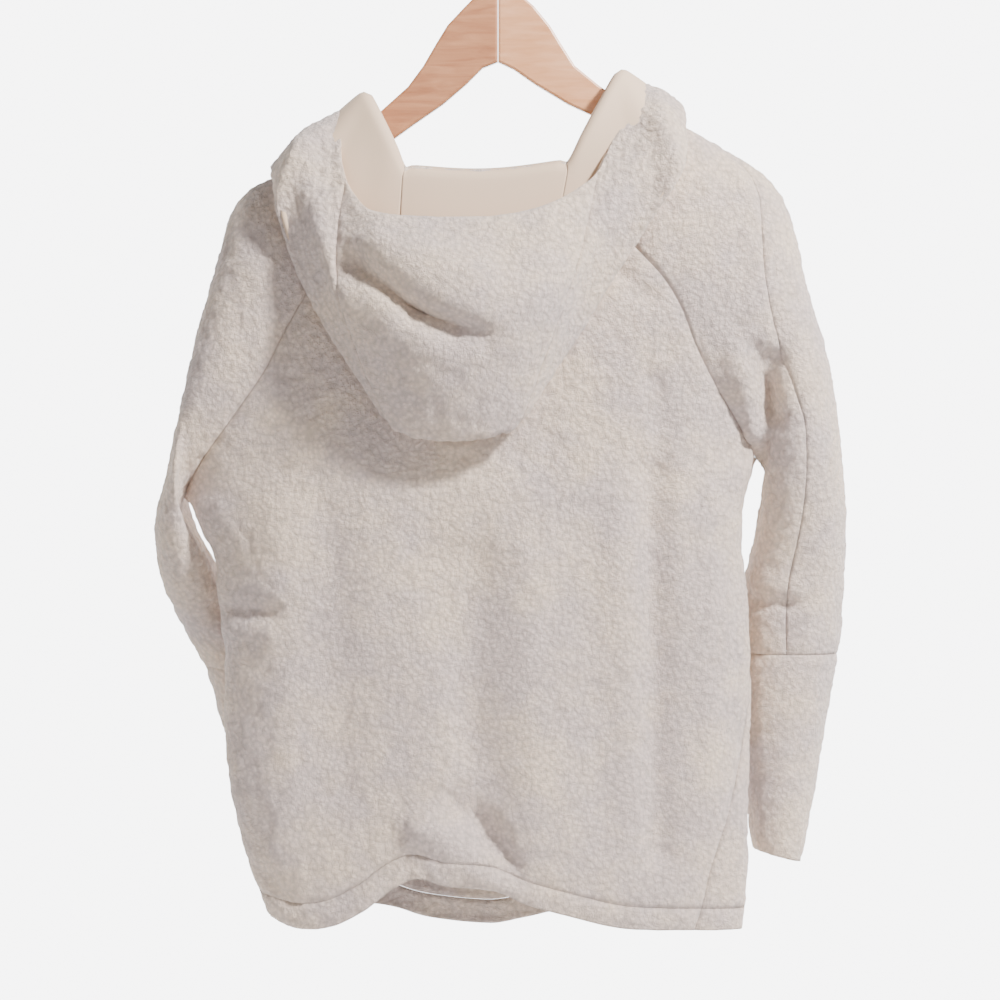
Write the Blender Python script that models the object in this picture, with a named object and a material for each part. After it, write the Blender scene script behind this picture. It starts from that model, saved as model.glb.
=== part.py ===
"""Hooded sherpa fleece pullover with raglan sleeves, hanging on a wooden hanger.

Frame: +Z up, origin at the inside of the hanger hook's crown, the garment's back towards -Y.
Every size below is in millimetres; the meshes are written in metres.

The cloth is worked out as surfaces over (along, around) grids. Rows of the torso, the sleeves and
the hood are read from short tables of sections, neighbouring pieces share their seam points and
their normals there, and each piece is then given its wall and pulled back from its seams.
"""
import math

import bmesh
import bpy
import numpy as np

MM = 0.001
COLLECTION = "hooded_sherpa_pullover"

# Cloth
FLEECE_WALL = 3.0
LINING_WALL = 1.0
LINING_GAP = 0.4          # between the fleece's inner face and the lining
SEAM_PULL = 0.2           # each edge is pulled back this far from its seam
ARMPIT_REACH = 24.0       # where four seams meet, the cloth is pressed thinner and cut shorter
ARMPIT_THINNING = 0.6
ARMPIT_PULL = 1.2
HOOD_PULL = 0.9           # the thick, rolled hood seams lie further apart, most at the neck
UNDER_GAP = 9.0           # from the body's middle surface to the turned-down hood's
TORSO_COLUMNS = 12
SLEEVE_COLUMNS = 5        # in each half of a sleeve

# Neck
FRONT_NECK_DROP = 70.0    # centre front below the front raglan seams
BACK_NECK_DROP = 6.0

# Hanger
ARM_THICKNESS = 11.0
ARM_EDGE_RADIUS = 2.0
HOOK_WIRE = 3.5
HOOK_RADIUS = 22.0        # of the wire's centreline

# Sleeve sections. "along" runs 0 at the neck, 1 at the armpit, 2 at the elbow seam, 3 at the cuff.
# outer is the overarm ridge, inner the raglan seam and below the armpit the underarm seam,
# turn the angle from outer to inner round the back, overarm the seam's own angle.
SLEEVE_COLUMNS_NAMES = ("along", "outer_x", "outer_y", "outer_z", "inner_x", "inner_y", "inner_z",
                        "back", "front", "turn", "overarm")
SLEEVE_LEFT = (
    (0.00, -118, 0, -191, -86, -37, -264, 37, 37, 90, 0),
    (0.15, -160, 0, -224, -118, -42, -296, 42, 42, 92, 0),
    (0.30, -198, 0, -248, -148, -45, -330, 46, 46, 95, 0),
    (0.42, -226, 0, -263, -172, -46, -360, 48, 48, 98, 0),
    (0.55, -243, 0, -285, -192, -46, -394, 50, 50, 104, 0),
    (0.68, -252, 0, -318, -211, -43, -430, 50, 50, 112, 0),
    (0.80, -262, 0, -355, -238, -35, -468, 50, 50, 125, 0),
    (0.91, -273, 0, -395, -268, -18, -508, 48, 48, 140, 0),
    (1.00, -281, 0, -432, -286, 4, -538, 46, 46, 158, 0),
    (1.15, -291, 4, -475, -292, 16, -556, 46, 46, 180, 0),
    (1.35, -303, 12, -527, -280, 32, -578, 46, 50, 180, 0),
    (1.50, -314, 22, -572, -264, 44, -602, 44, 50, 180, 0),
    (1.65, -309, 38, -618, -247, 55, -634, 41, 47, 180, 0),
    (1.80, -294, 54, -655, -228, 65, -664, 38, 44, 180, 0),
    (2.00, -272, 70, -700, -204, 74, -704, 36, 40, 180, 0),
    (2.30, -252, 79, -765, -184, 82, -764, 34, 36, 180, 0),
    (2.60, -232, 85, -822, -166, 87, -822, 32, 33, 180, 0),
    (3.00, -212, 88, -884, -154, 89, -884, 28, 29, 180, 0),
)
SLEEVE_RIGHT = (
    (0.00, 110, 0, -169, 64, -37, -259, 37, 37, 90, 0),
    (0.15, 146, 0, -194, 95, -42, -289, 42, 42, 92, 0),
    (0.30, 182, 0, -212, 124, -45, -318, 46, 46, 95, 0),
    (0.42, 212, 0, -230, 148, -46, -344, 48, 48, 98, 10),
    (0.55, 240, 0, -249, 165, -46, -372, 50, 50, 104, 28),
    (0.68, 259, 0, -272, 178, -42, -405, 50, 50, 112, 50),
    (0.80, 270, 2, -305, 196, -32, -440, 50, 50, 125, 66),
    (0.91, 281, 4, -350, 217, -16, -474, 48, 48, 140, 76),
    (1.00, 295, 6, -398, 234, 2, -504, 46, 46, 158, 82),
    (1.15, 306, 12, -450, 245, 14, -520, 46, 48, 180, 86),
    (1.35, 315, 22, -515, 242, 26, -552, 45, 50, 180, 90),
    (1.50, 319, 30, -565, 236, 36, -586, 44, 50, 180, 96),
    (1.65, 318, 37, -612, 228, 42, -622, 43, 48, 180, 100),
    (1.80, 316, 40, -650, 225, 44, -654, 42, 46, 180, 100),
    (2.00, 313, 42, -686, 225, 44, -686, 41, 43, 180, 98),
    (2.30, 300, 42, -752, 228, 44, -750, 38, 40, 180, 96),
    (2.60, 290, 42, -815, 231, 44, -808, 34, 36, 180, 94),
    (3.00, 279, 42, -878, 236, 44, -866, 28, 30, 180, 92),
)

# Torso sections. along runs 0 at the neck, 1 at the armpits, 2 at the hem seam, 3 at the hem.
# left and right are the side seams below the armpits (above, the sleeves' raglan seams hold);
# left_turn and right_turn say how far round the section's end the seam lies, towards the front.
TORSO_COLUMNS_NAMES = ("along", "left_x", "left_y", "left_z", "right_x", "right_y", "right_z",
                       "back", "front", "left_turn", "right_turn", "square")
TORSO = (
    (0.00, -86, 0, -264, 64, 0, -259, 38, 40, -60, -60, 2.2),
    (0.30, -148, 0, -330, 124, 0, -318, 47, 47, -52, -52, 2.2),
    (0.55, -192, 0, -394, 165, 0, -372, 52, 50, -42, -42, 2.3),
    (0.80, -238, 0, -468, 196, 0, -440, 54, 50, -24, -24, 2.4),
    (1.00, -286, 4, -538, 234, 2, -504, 54, 49, -12, -12, 2.5),
    (1.08, -278, 2, -551, 231, 0, -520, 54, 49, 0, 0, 2.5),
    (1.16, -268, 0, -573, 224, 0, -545, 54, 48, 0, 0, 2.5),
    (1.26, -258, 0, -594, 221, 0, -582, 54, 48, 0, 0, 2.5),
    (1.42, -254, 0, -634, 227, 0, -640, 53, 47, 0, 0, 2.5),
    (1.60, -248, 0, -692, 229, 0, -705, 52, 45, 0, -4, 2.4),
    (1.75, -248, 0, -742, 224, -6, -756, 50, 43, 0, -12, 2.4),
    (1.88, -242, 0, -812, 206, -20, -836, 48, 42, 0, -26, 2.4),
    (1.95, -231, 0, -858, 192, -24, -880, 46, 41, 0, -34, 2.4),
    (2.00, -217, 0, -900, 184, -25, -914, 45, 40, 0, -38, 2.4),
    (3.00, -207, 0, -924, 178, -24, -934, 44, 39, 0, -40, 2.3),
)

# How far the hem seam lifts over the straight line between its ends, across the back and front.
HEM_LIFT = ((0.0, 0, 0), (0.08, -8, 4), (0.15, -4, 8), (0.22, 10, 10), (0.30, 34, 6), (0.35, 42, 0),
            (0.42, 36, -4), (0.52, 34, -6), (0.60, 22, 0), (0.70, 12, 8), (0.85, 1, 6), (1.0, 0, 0))
HEM_LIFT_STARTS = 1.62

# Hood sections round the neck, from the centre front (turn -1, wearer's left) by the nape (0) to
# the centre front again (turn 1). rim is the face opening, crown the outer layer, fold the lowest
# edge of the turned-down hood, and stand the height of the roll over the neck seam.
HOOD_NAMES = ("turn", "rim_x", "rim_y", "rim_z", "crown_x", "crown_y", "crown_z",
              "fold_x", "fold_y", "fold_z", "stand")
HOOD = (
    (-1.00, -8, 58, -290, -8, 60, -303, -8, 58, -314, 8),
    (-0.86, -66, 64, -256, -86, 70, -272, -98, 66, -296, 10),
    (-0.74, -112, 36, -214, -142, 50, -226, -164, 46, -258, 10),
    (-0.62, -136, -8, -189, -176, -12, -208, -203, -14, -247, 9),
    (-0.58, -139, -20, -198, -184, -46, -226, -198, -54, -278, 10),
    (-0.52, -140, -30, -210, -174, -60, -258, -182, -56, -330, 10),
    (-0.45, -142, -42, -224, -163, -76, -290, -160, -60, -376, 11),
    (-0.33, -136, -62, -258, -143, -92, -356, -97, -70, -474, 12),
    (-0.18, -104, -90, -291, -96, -116, -372, -70, -76, -488, 12),
    (0.00, -30, -94, -294, -28, -124, -384, -38, -78, -490, 12),
    (0.18, 44, -86, -282, 30, -114, -372, -10, -76, -487, 12),
    (0.33, 90, -64, -250, 67, -92, -346, 18, -70, -476, 12),
    (0.45, 104, -44, -218, 96, -74, -292, 72, -58, -392, 11),
    (0.52, 114, -28, -194, 132, -58, -240, 122, -58, -312, 10),
    (0.58, 120, -20, -180, 150, -50, -204, 164, -58, -246, 9),
    (0.60, 123, -14, -172, 149, -30, -186, 172, -40, -218, 8),
    (0.62, 125, -8, -167, 148, -10, -172, 168, -10, -194, 8),
    (0.74, 104, 36, -196, 132, 50, -206, 152, 46, -238, 10),
    (0.86, 62, 64, -246, 82, 70, -262, 94, 66, -286, 10),
    (1.00, 8, 58, -290, 8, 60, -303, 8, 58, -314, 8),
)
HOOD_ROWS = (0.0, 0.5, 1.0, 1.5, 2.0, 3.0, 4.0, 4.5, 5.0, 5.6, 6.0, 6.45, 7.0)
HOOD_SEAM_TURN = 0.33     # the crown panel's seams
FOLD_RADIUS = 4.5

# Folds pressed into the back: a line from (x, z) to (x, z), its depth (+ sinks, - rises) and width.
FOLD_NAMES = ("from_x", "from_z", "to_x", "to_z", "depth", "width")
BACK_FOLDS = (
    (-20, -600, -16, -850, 5.0, 24),      # soft trough down the middle of the back
    (138, -520, 146, -860, 6.0, 16),      # trough near the right side
    (-70, -840, -8, -880, -7.0, 18),      # ridge over the lifted hem
    (-36, -818, 10, -872, 5.0, 12),       # trough beside it
    (-256, -642, -200, -646, 5.0, 9),     # dimple at the left edge
    (250, -420, 244, -470, 14.0, 12),     # hollow of the right sleeve beside the armpit
)
HOOD_FOLDS = (
    (-130, -338, -40, -398, 12.0, 15),    # deep crease across the crown
)

# Hanger arm outlines (x, z): along the top from the middle, then back along the underside.
ARM_LEFT = ((-0.2, -73), (-12, -77), (-30, -95), (-46, -112), (-57, -130), (-68, -149), (-82, -168),
            (-102, -186), (-122, -204), (-165, -232), (-203, -256), (-211, -264), (-212, -272),
            (-205, -277), (-165, -253), (-123, -230), (-101, -220), (-76, -202), (-50, -184),
            (-29, -166), (-14, -151), (-0.2, -145.5))
ARM_RIGHT = ((0.2, -73), (13, -77), (33, -95), (47, -112), (58, -130), (70, -149), (92, -167),
             (114, -182), (150, -203), (185, -225), (203, -238), (210, -246), (210, -254),
             (203, -258), (185, -247), (150, -226), (101, -201), (64, -184), (34, -166),
             (14, -152), (0.2, -145.5))


def rows_to_columns(rows, names):
    """Turn a table of rows into a dictionary of columns."""
    return dict(zip(names, np.array(rows, dtype=float).T))


def smooth(xs, ys, at):
    """Read a table column at any place with a monotone cubic through its rows."""
    at = np.clip(np.asarray(at, dtype=float), xs[0], xs[-1])
    widths = np.diff(xs)
    slopes = np.diff(ys) / widths
    tangents = np.empty_like(ys)
    tangents[0] = slopes[0]
    tangents[-1] = slopes[-1]
    product = slopes[:-1] * slopes[1:]
    mean = (slopes[:-1] * widths[1:] + slopes[1:] * widths[:-1]) / (widths[:-1] + widths[1:])
    limit = 2.5 * np.minimum(np.abs(slopes[:-1]), np.abs(slopes[1:]))
    tangents[1:-1] = np.where(product > 0, np.sign(mean) * np.minimum(np.abs(mean), limit), 0.0)
    index = np.clip(np.searchsorted(xs, at, side="right") - 1, 0, len(widths) - 1)
    width = widths[index]
    t = (at - xs[index]) / width
    return ((2 * t**3 - 3 * t**2 + 1) * ys[index]
            + (t**3 - 2 * t**2 + t) * width * tangents[index]
            + (3 * t**2 - 2 * t**3) * ys[index + 1]
            + (t**3 - t**2) * width * tangents[index + 1])


def read_point(table, key, name, at):
    """Read the point NAME_x, NAME_y, NAME_z of a table at any place along it."""
    return np.stack([smooth(table[key], table[name + axis], at) for axis in ("_x", "_y", "_z")], -1)


def signed_power(value, power):
    """Raise the size of a value to a power and keep its sign."""
    return np.sign(value) * np.abs(value) ** power


def sleeve_surface(table, along, angle):
    """Give a sleeve's points at places along it and angles round it in degrees.

    Angles run from the overarm ridge (0) round the back to the inner seam (turn) and, as negative
    angles, round the front. The point moves from ridge to seam by the versine of the angle, and
    out of the plane by its sine.
    """
    along, angle = np.broadcast_arrays(np.asarray(along, float), np.asarray(angle, float))
    outer = read_point(table, "along", "outer", along)
    inner = read_point(table, "along", "inner", along)
    turn = np.radians(smooth(table["along"], table["turn"], along))
    back = smooth(table["along"], table["back"], along)
    front = smooth(table["along"], table["front"], along)
    size = np.radians(np.abs(angle))
    share = (1 - np.cos(size)) / (1 - np.cos(turn))
    mirrored = np.clip(1 - along, 0, 1) > 0
    seam_y = np.where((angle < 0) & mirrored, -inner[..., 1], inner[..., 1])
    depth = np.where(angle < 0, -front, back)
    armpit_y = table["inner_y"][np.searchsorted(table["along"], 1.0)]
    blend = np.clip((along - 0.8) / 0.2, 0, 1)
    seam_y = np.where((angle < 0) & mirrored, seam_y + 2 * armpit_y * blend, seam_y)
    y = outer[..., 1] + (seam_y - outer[..., 1] + depth * np.sin(turn)) * share - depth * np.sin(size)
    x = outer[..., 0] + (inner[..., 0] - outer[..., 0]) * share
    z = outer[..., 2] + (inner[..., 2] - outer[..., 2]) * share
    return np.stack([x, y, z], -1)


def inner_seam(table, along, side):
    """Give the seam where a sleeve meets the torso, on the back (side 1) or front (side -1)."""
    turn = smooth(table["along"], table["turn"], along)
    return sleeve_surface(table, along, side * turn)


def torso_ends(tables, along, side):
    """Give the left and right ends of a torso row: raglan seams, then side seams."""
    ends = []
    for name in ("left", "right"):
        raglan = inner_seam(tables[name], np.minimum(along, 1.0), side)
        seam = read_point(tables["torso"], "along", name, along)
        ends.append(np.where((along <= 1.0)[..., None], raglan, seam))
    return ends


def torso_surface(tables, along, across, side):
    """Give the torso's points, across running 0 at the right seam to 1 at the left seam.

    A row is a stretch of a superellipse, from the right seam's angle round to the left seam's,
    fitted between the two seam points and as deep as the table says.
    """
    torso = tables["torso"]
    along, across = np.broadcast_arrays(np.asarray(along, float), np.asarray(across, float))
    left, right = torso_ends(tables, along, side)
    square = smooth(torso["along"], torso["square"], along)
    start = -side * smooth(torso["along"], torso["right_turn"], along)
    end = 180 + side * smooth(torso["along"], torso["left_turn"], along)
    raglan = along <= 1.0
    start = np.where(raglan, np.abs(start), start)
    end = np.where(raglan, 180 - np.abs(end - 180), end)
    angle = np.radians(start + (end - start) * across)
    reach = signed_power(np.cos(angle), 2 / square)
    rise = signed_power(np.sin(angle), 2 / square)
    reach_start = signed_power(np.cos(np.radians(start)), 2 / square)
    reach_end = signed_power(np.cos(np.radians(end)), 2 / square)
    rise_start = signed_power(np.sin(np.radians(start)), 2 / square)
    rise_end = signed_power(np.sin(np.radians(end)), 2 / square)
    share = (reach - reach_start) / (reach_end - reach_start)
    base = right + (left - right) * share[..., None]
    rise_base = rise_start + (rise_end - rise_start) * share
    depth = smooth(torso["along"], torso["back" if side > 0 else "front"], along)
    lift = (rise - rise_base) / (1 - rise_base)
    y = base[..., 1] - side * (depth + side * base[..., 1]) * lift
    hem = np.array(HEM_LIFT, dtype=float).T
    fade = np.clip((along - HEM_LIFT_STARTS) / (2 - HEM_LIFT_STARTS), 0, 1) ** 1.5
    z = base[..., 2] + fade * smooth(hem[0], hem[1 if side > 0 else 2], 1 - np.clip(share, 0, 1))
    drop = BACK_NECK_DROP if side > 0 else FRONT_NECK_DROP
    neck = np.clip(1 - along / 0.85, 0, 1) ** 2
    z = z - drop * neck * np.sin(np.pi * np.clip(share, 0, 1)) ** 1.3
    return np.stack([base[..., 0], y, z], -1)


def catmull_rom(points, at):
    """Read a smooth curve through points (..., count, 3) at places 0 .. count - 1."""
    count = points.shape[-2]
    index = np.clip(np.floor(at).astype(int), 0, count - 2)
    t = (at - index)[:, None]
    first = points[..., 0:1, :] * 2 - points[..., 1:2, :]
    last = points[..., -1:, :] * 2 - points[..., -2:-1, :]
    padded = np.concatenate([first, points, last], axis=-2)
    p0, p1, p2, p3 = (padded[..., index + shift, :] for shift in range(4))
    return 0.5 * (2 * p1 + (p2 - p0) * t + (2 * p0 - 5 * p1 + 4 * p2 - p3) * t**2
                  + (3 * p1 - p0 - 3 * p2 + p3) * t**3)


def hood_surface(hood, neck, outward, turn, places):
    """Give the hood's points for each turn (with its neck point and the cloth's normal there).

    Each section is a smooth curve from the rim over the crown to the fold, back under it, over the
    roll above the neck seam, and down to that seam.
    """
    rim = read_point(hood, "turn", "rim", turn)
    crown = read_point(hood, "turn", "crown", turn)
    fold = read_point(hood, "turn", "fold", turn)
    stand = smooth(hood["turn"], hood["stand"], turn)
    collar = np.clip((np.abs(turn) - 0.8) / 0.2, 0, 1)[:, None]
    roll = neck + outward * (0.8 * stand)[:, None] + np.array([0.0, 0.0, 1.0]) * stand[:, None]
    under = 0.5 * (fold + roll)
    roll = roll * (1 - collar) + (neck + (fold - neck) * 0.4) * collar
    under = under * (1 - collar) + (neck + (fold - neck) * 0.7) * collar
    across = crown - under
    across *= FOLD_RADIUS / np.linalg.norm(across, axis=1, keepdims=True)
    inwards = 0.5 * (crown + under) - fold
    inwards *= FOLD_RADIUS / np.linalg.norm(inwards, axis=1, keepdims=True)
    knots = np.stack([rim, crown, fold + across + inwards, fold, fold - across + inwards,
                      under, roll, neck], axis=1)
    return catmull_rom(knots, np.asarray(places, float))


def lay_over(points, places, panels):
    """Push hood points out until they lie clear of the cloth below, by the nearest panel point.

    The gap grows from nothing at the neck seam to UNDER_GAP where the hood rolls over.
    """
    below = np.concatenate([panel.points.reshape(-1, 3) for panel in panels])
    normals = np.concatenate([panel.normals.reshape(-1, 3) for panel in panels])
    gap = UNDER_GAP * np.clip((7.0 - np.asarray(places)) / 1.0, 0, 1)[:, None]
    for _ in range(3):
        distance = np.linalg.norm(points[:, :, None] - below, axis=-1)
        nearest = distance.argmin(axis=-1)
        normal = normals[nearest]
        height = ((points - below[nearest]) * normal).sum(-1)
        points = points + normal * np.maximum(gap - height, 0)[..., None]
    return points


class Panel:
    """One piece of cloth: a grid of points with rows down and columns round, pile side outwards."""

    def __init__(self, name, points, closed=False):
        self.name = name
        self.points = points
        self.closed = closed
        self.normals = None

    def face_normals(self):
        """Give each cell's normal, as long as the cell's area."""
        points = self.points
        if self.closed:
            points = np.concatenate([points, points[:, :1]], axis=1)
        a, b = points[:-1, :-1], points[:-1, 1:]
        c, d = points[1:, 1:], points[1:, :-1]
        return 0.5 * np.cross(a - c, b - d)

    def corner_sums(self):
        """Add each cell's normal to its four corners."""
        normals = self.face_normals()
        rows, columns = self.points.shape[:2]
        sums = np.zeros((rows, columns, 3))
        for row in (0, 1):
            for column in (0, 1):
                shifted = np.roll(normals, column, axis=1) if self.closed else normals
                if self.closed:
                    sums[row:row + normals.shape[0]] += shifted
                else:
                    sums[row:row + normals.shape[0], column:column + normals.shape[1]] += normals
        return sums


def share_normals(panels):
    """Give every panel its point normals, averaged with the panels that meet it at a seam."""
    points = np.concatenate([panel.points.reshape(-1, 3) for panel in panels])
    sums = np.concatenate([panel.corner_sums().reshape(-1, 3) for panel in panels])
    keys = np.round(points / 0.05).astype(np.int64)
    _, inverse = np.unique(keys, axis=0, return_inverse=True)
    inverse = inverse.reshape(-1)
    total = np.zeros((inverse.max() + 1, 3))
    np.add.at(total, inverse, sums)
    normals = total[inverse]
    normals /= np.maximum(np.linalg.norm(normals, axis=1), 1e-9)[:, None]
    start = 0
    for panel in panels:
        size = panel.points.shape[0] * panel.points.shape[1]
        panel.normals = normals[start:start + size].reshape(panel.points.shape)
        start += size


def line_distance(x, z, fold):
    """Give the distance from (x, z) to a fold's line."""
    start = np.array([fold["from_x"], fold["from_z"]])
    run = np.array([fold["to_x"], fold["to_z"]]) - start
    share = ((x - start[0]) * run[0] + (z - start[1]) * run[1]) / run.dot(run)
    share = np.clip(share, 0, 1)
    return np.hypot(x - start[0] - share * run[0], z - start[1] - share * run[1])


def press_folds(panel, folds, facing=-1.0):
    """Sink or raise the cloth along each fold where it faces the given way along Y."""
    weight = np.clip(panel.normals[..., 1] * facing, 0, 1)
    push = np.zeros(panel.points.shape[:2])
    for row in folds:
        fold = dict(zip(FOLD_NAMES, row))
        distance = line_distance(panel.points[..., 0], panel.points[..., 2], fold)
        push -= fold["depth"] * np.exp(-(distance / fold["width"]) ** 2)
    panel.points = panel.points + panel.normals * (push * weight)[..., None]


def armpit_share(points):
    """Give 1 at an armpit, falling to 0 about ARMPIT_REACH away."""
    share = np.zeros(points.shape[:-1])
    for table in (SLEEVE_LEFT, SLEEVE_RIGHT):
        armpit = next(row for row in table if row[0] == 1.0)[4:7]
        distance = np.linalg.norm(points - np.array(armpit, dtype=float), axis=-1)
        share = np.maximum(share, np.exp(-(distance / ARMPIT_REACH) ** 2))
    return share


def pull_back(points, closed, extra):
    """Pull a grid's edges back from their seams, and further at the armpits and along the hood."""
    result = points.copy()
    pull = SEAM_PULL + extra + ARMPIT_PULL * armpit_share(points)[..., None]
    pull[-1] += 4 * extra
    for edge, inside in ((0, 1), (-1, -2)):
        run = points[inside] - points[edge]
        result[edge] += run / np.linalg.norm(run, axis=-1, keepdims=True) * pull[edge]
        if not closed:
            run = points[:, inside] - points[:, edge]
            result[:, edge] += run / np.linalg.norm(run, axis=-1, keepdims=True) * pull[:, edge]
    return result


def make_material(name, colour, roughness, metallic=0.0):
    """Make a Principled material from a linear colour."""
    material = bpy.data.materials.new(name)
    material.use_nodes = True
    shader = material.node_tree.nodes["Principled BSDF"]
    shader.inputs["Base Color"].default_value = (*colour, 1.0)
    shader.inputs["Roughness"].default_value = roughness
    shader.inputs["Metallic"].default_value = metallic
    material.diffuse_color = (*colour, 1.0)
    return material


def add_object(name, mesh, material):
    """Put a finished mesh into the garment's collection."""
    mesh.materials.append(material)
    item = bpy.data.objects.new(name, mesh)
    bpy.data.collections[COLLECTION].objects.link(item)
    return item


def build_sheet(panel, offset, wall, colour, roughness=0.95):
    """Make a panel's closed solid: its wall about the surface moved out by offset."""
    extra = HOOD_PULL if panel.name.split("_")[0] in ("hood", "lining") else 0.0
    middle = pull_back(panel.points, panel.closed, extra) + panel.normals * offset
    rows, columns = middle.shape[:2]
    half = panel.normals * (wall / 2 * (1 - ARMPIT_THINNING * armpit_share(panel.points)))[..., None]
    outside = (middle + half).reshape(-1, 3)
    inside = (middle - half).reshape(-1, 3)
    count = rows * columns
    index = np.arange(count).reshape(rows, columns)
    if panel.closed:
        index = np.concatenate([index, index[:, :1]], axis=1)
    a, b = index[:-1, :-1].ravel(), index[:-1, 1:].ravel()
    c, d = index[1:, 1:].ravel(), index[1:, :-1].ravel()
    faces = [np.stack([a, d, c, b], 1), np.stack([a, b, c, d], 1) + count]
    loops = [index[0], index[-1][::-1]]
    if not panel.closed:
        loops += [index[::-1, 0], index[:, -1]]
    for loop in loops:
        faces.append(np.stack([loop[:-1], loop[1:], loop[1:] + count, loop[:-1] + count], 1))
    mesh = bpy.data.meshes.new(panel.name)
    mesh.from_pydata((np.concatenate([outside, inside]) * MM).tolist(), [],
                     np.concatenate(faces).tolist())
    bm = bmesh.new()
    bm.from_mesh(mesh)
    bmesh.ops.triangulate(bm, faces=bm.faces)
    if bm.calc_volume(signed=True) < 0:
        bmesh.ops.reverse_faces(bm, faces=bm.faces)
    bm.to_mesh(mesh)
    bm.free()
    mesh.shade_smooth()
    mesh.set_sharp_from_angle(angle=math.radians(50))
    material = make_material(panel.name, colour, roughness)
    return add_object(panel.name, mesh, material)


def torso_panels(tables):
    """Lay out the back, front and hem pieces."""
    across = np.linspace(0, 1, TORSO_COLUMNS + 1)
    rows = raglan_rows() + [1.04, 1.1, 1.18, 1.28, 1.42, 1.55, 1.68, 1.8, 1.9, 2.0]
    hem = [2.0, 2.5, 3.0]
    panels = []
    for name, side in (("back", 1), ("front", -1)):
        for piece, places in ((name + "_panel", rows), ("hem_" + name, hem)):
            places = np.array(places)[:, None]
            grid = torso_surface(tables, places, across[None, :], side)
            panels.append(Panel(piece, grid if side > 0 else grid[:, ::-1]))
    return panels


def raglan_rows():
    """Give the rows that the torso and the sleeves share from neck to armpit."""
    return [0.0, 0.15, 0.3, 0.44, 0.58, 0.7, 0.8, 0.88, 0.95, 1.0]


def sleeve_panels(table, side_name):
    """Lay out a sleeve's back and front halves above the elbow seam and its forearm below it."""
    rows = np.array(raglan_rows() + [1.06, 1.14, 1.25, 1.38, 1.52, 1.68, 1.84, 2.0])
    turn = smooth(table["along"], table["turn"], rows)
    overarm = smooth(table["along"], table["overarm"], rows)
    share = np.linspace(0, 1, SLEEVE_COLUMNS + 1)
    back = overarm[:, None] + (turn - overarm)[:, None] * share
    front = -turn[:, None] + (overarm + turn)[:, None] * share
    down = np.array([2.0, 2.25, 2.5, 2.75, 3.0])
    seam = smooth(table["along"], table["overarm"], down)[:, None]
    round_angles = np.concatenate([seam + (180 - seam) * share[:-1],
                                   -180 + (seam + 180) * share[:-1]], axis=1)
    grids = [("sleeve_" + side_name + "_back", rows, back, False),
             ("sleeve_" + side_name + "_front", rows, front, False),
             ("forearm_" + side_name, down, round_angles, True)]
    panels = []
    for name, places, angles, closed in grids:
        grid = sleeve_surface(table, places[:, None], angles)
        if side_name == "left":
            grid = grid[:, ::-1]
        panels.append(Panel(name, grid, closed))
    return panels


def fine_panels(tables):
    """Give the cloth under the hood as closely spaced points with normals."""
    rows = np.linspace(0, 1, 36)[:, None]
    share = np.linspace(0, 1, 25)
    panels = []
    for side in (1, -1):
        grid = torso_surface(tables, rows, share[None, :], side)
        panels.append(Panel("", grid if side > 0 else grid[:, ::-1]))
    for name in ("left", "right"):
        turn = smooth(tables[name]["along"], tables[name]["turn"], rows)
        grid = sleeve_surface(tables[name], rows, turn * (2 * share - 1))
        panels.append(Panel("", grid[:, ::-1] if name == "left" else grid))
    share_normals(panels)
    return panels


def hood_panels(tables, torso, sleeves):
    """Lay out the hood's crown panel and sides on the neck edges of the pieces below them."""
    share_normals(torso + sleeves)
    edges = {panel.name: np.concatenate([panel.points[0], panel.normals[0]], axis=1)
             for panel in torso + sleeves}
    below = fine_panels(tables)
    half = TORSO_COLUMNS // 2
    seam = HOOD_SEAM_TURN
    nape_right_to_left = edges["back_panel"]
    front_left_to_right = edges["front_panel"]
    left = np.concatenate([edges["sleeve_left_back"], edges["sleeve_left_front"][1:],
                           front_left_to_right[1:half + 1]])
    right = np.concatenate([edges["sleeve_right_back"][::-1], edges["sleeve_right_front"][::-1][1:],
                            front_left_to_right[::-1][1:half + 1]])
    side_turn = np.concatenate([seam + (0.62 - seam) * np.linspace(0, 1, SLEEVE_COLUMNS + 1) ** 0.7,
                                np.linspace(0.62, 0.80, SLEEVE_COLUMNS + 1)[1:],
                                np.linspace(0.80, 1.0, half + 1)[1:]])
    panels = []
    for name, neck, turn in (
            ("hood_center", nape_right_to_left, np.linspace(seam, -seam, TORSO_COLUMNS + 1)),
            ("hood_left", left, -side_turn),
            ("hood_right", right[::-1], side_turn[::-1])):
        grid = hood_surface(tables["hood"], neck[:, :3], neck[:, 3:], turn, HOOD_ROWS).transpose(1, 0, 2)
        panels.append(Panel(name, lay_over(grid, HOOD_ROWS, below)))
    return panels


def build_hanger():
    """Make the two wooden arms and the wire hook."""
    wood = {"hanger_left": ((0.58, 0.31, 0.18), ARM_LEFT), "hanger_right": ((0.78, 0.44, 0.27), ARM_RIGHT)}
    for name, (colour, outline) in wood.items():
        curve = bpy.data.curves.new(name, "CURVE")
        curve.dimensions = "2D"
        curve.fill_mode = "BOTH"
        curve.extrude = (ARM_THICKNESS / 2 - ARM_EDGE_RADIUS) * MM
        curve.bevel_depth = ARM_EDGE_RADIUS * MM
        curve.bevel_resolution = 1
        curve.offset = -ARM_EDGE_RADIUS * MM
        spline = curve.splines.new("POLY")
        spline.points.add(len(outline) - 1)
        for point, (x, z) in zip(spline.points, outline):
            point.co = (x * MM, z * MM, 0.0, 1.0)
        spline.use_cyclic_u = True
        item = bpy.data.objects.new(name, curve)
        item.rotation_euler = (math.pi / 2, 0.0, 0.0)
        bpy.data.collections[COLLECTION].objects.link(item)
        weld = item.modifiers.new("Weld", "WELD")
        weld.merge_threshold = 0.00002
        curve.materials.append(make_material(name, colour, 0.35))
    build_hook()


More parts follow.
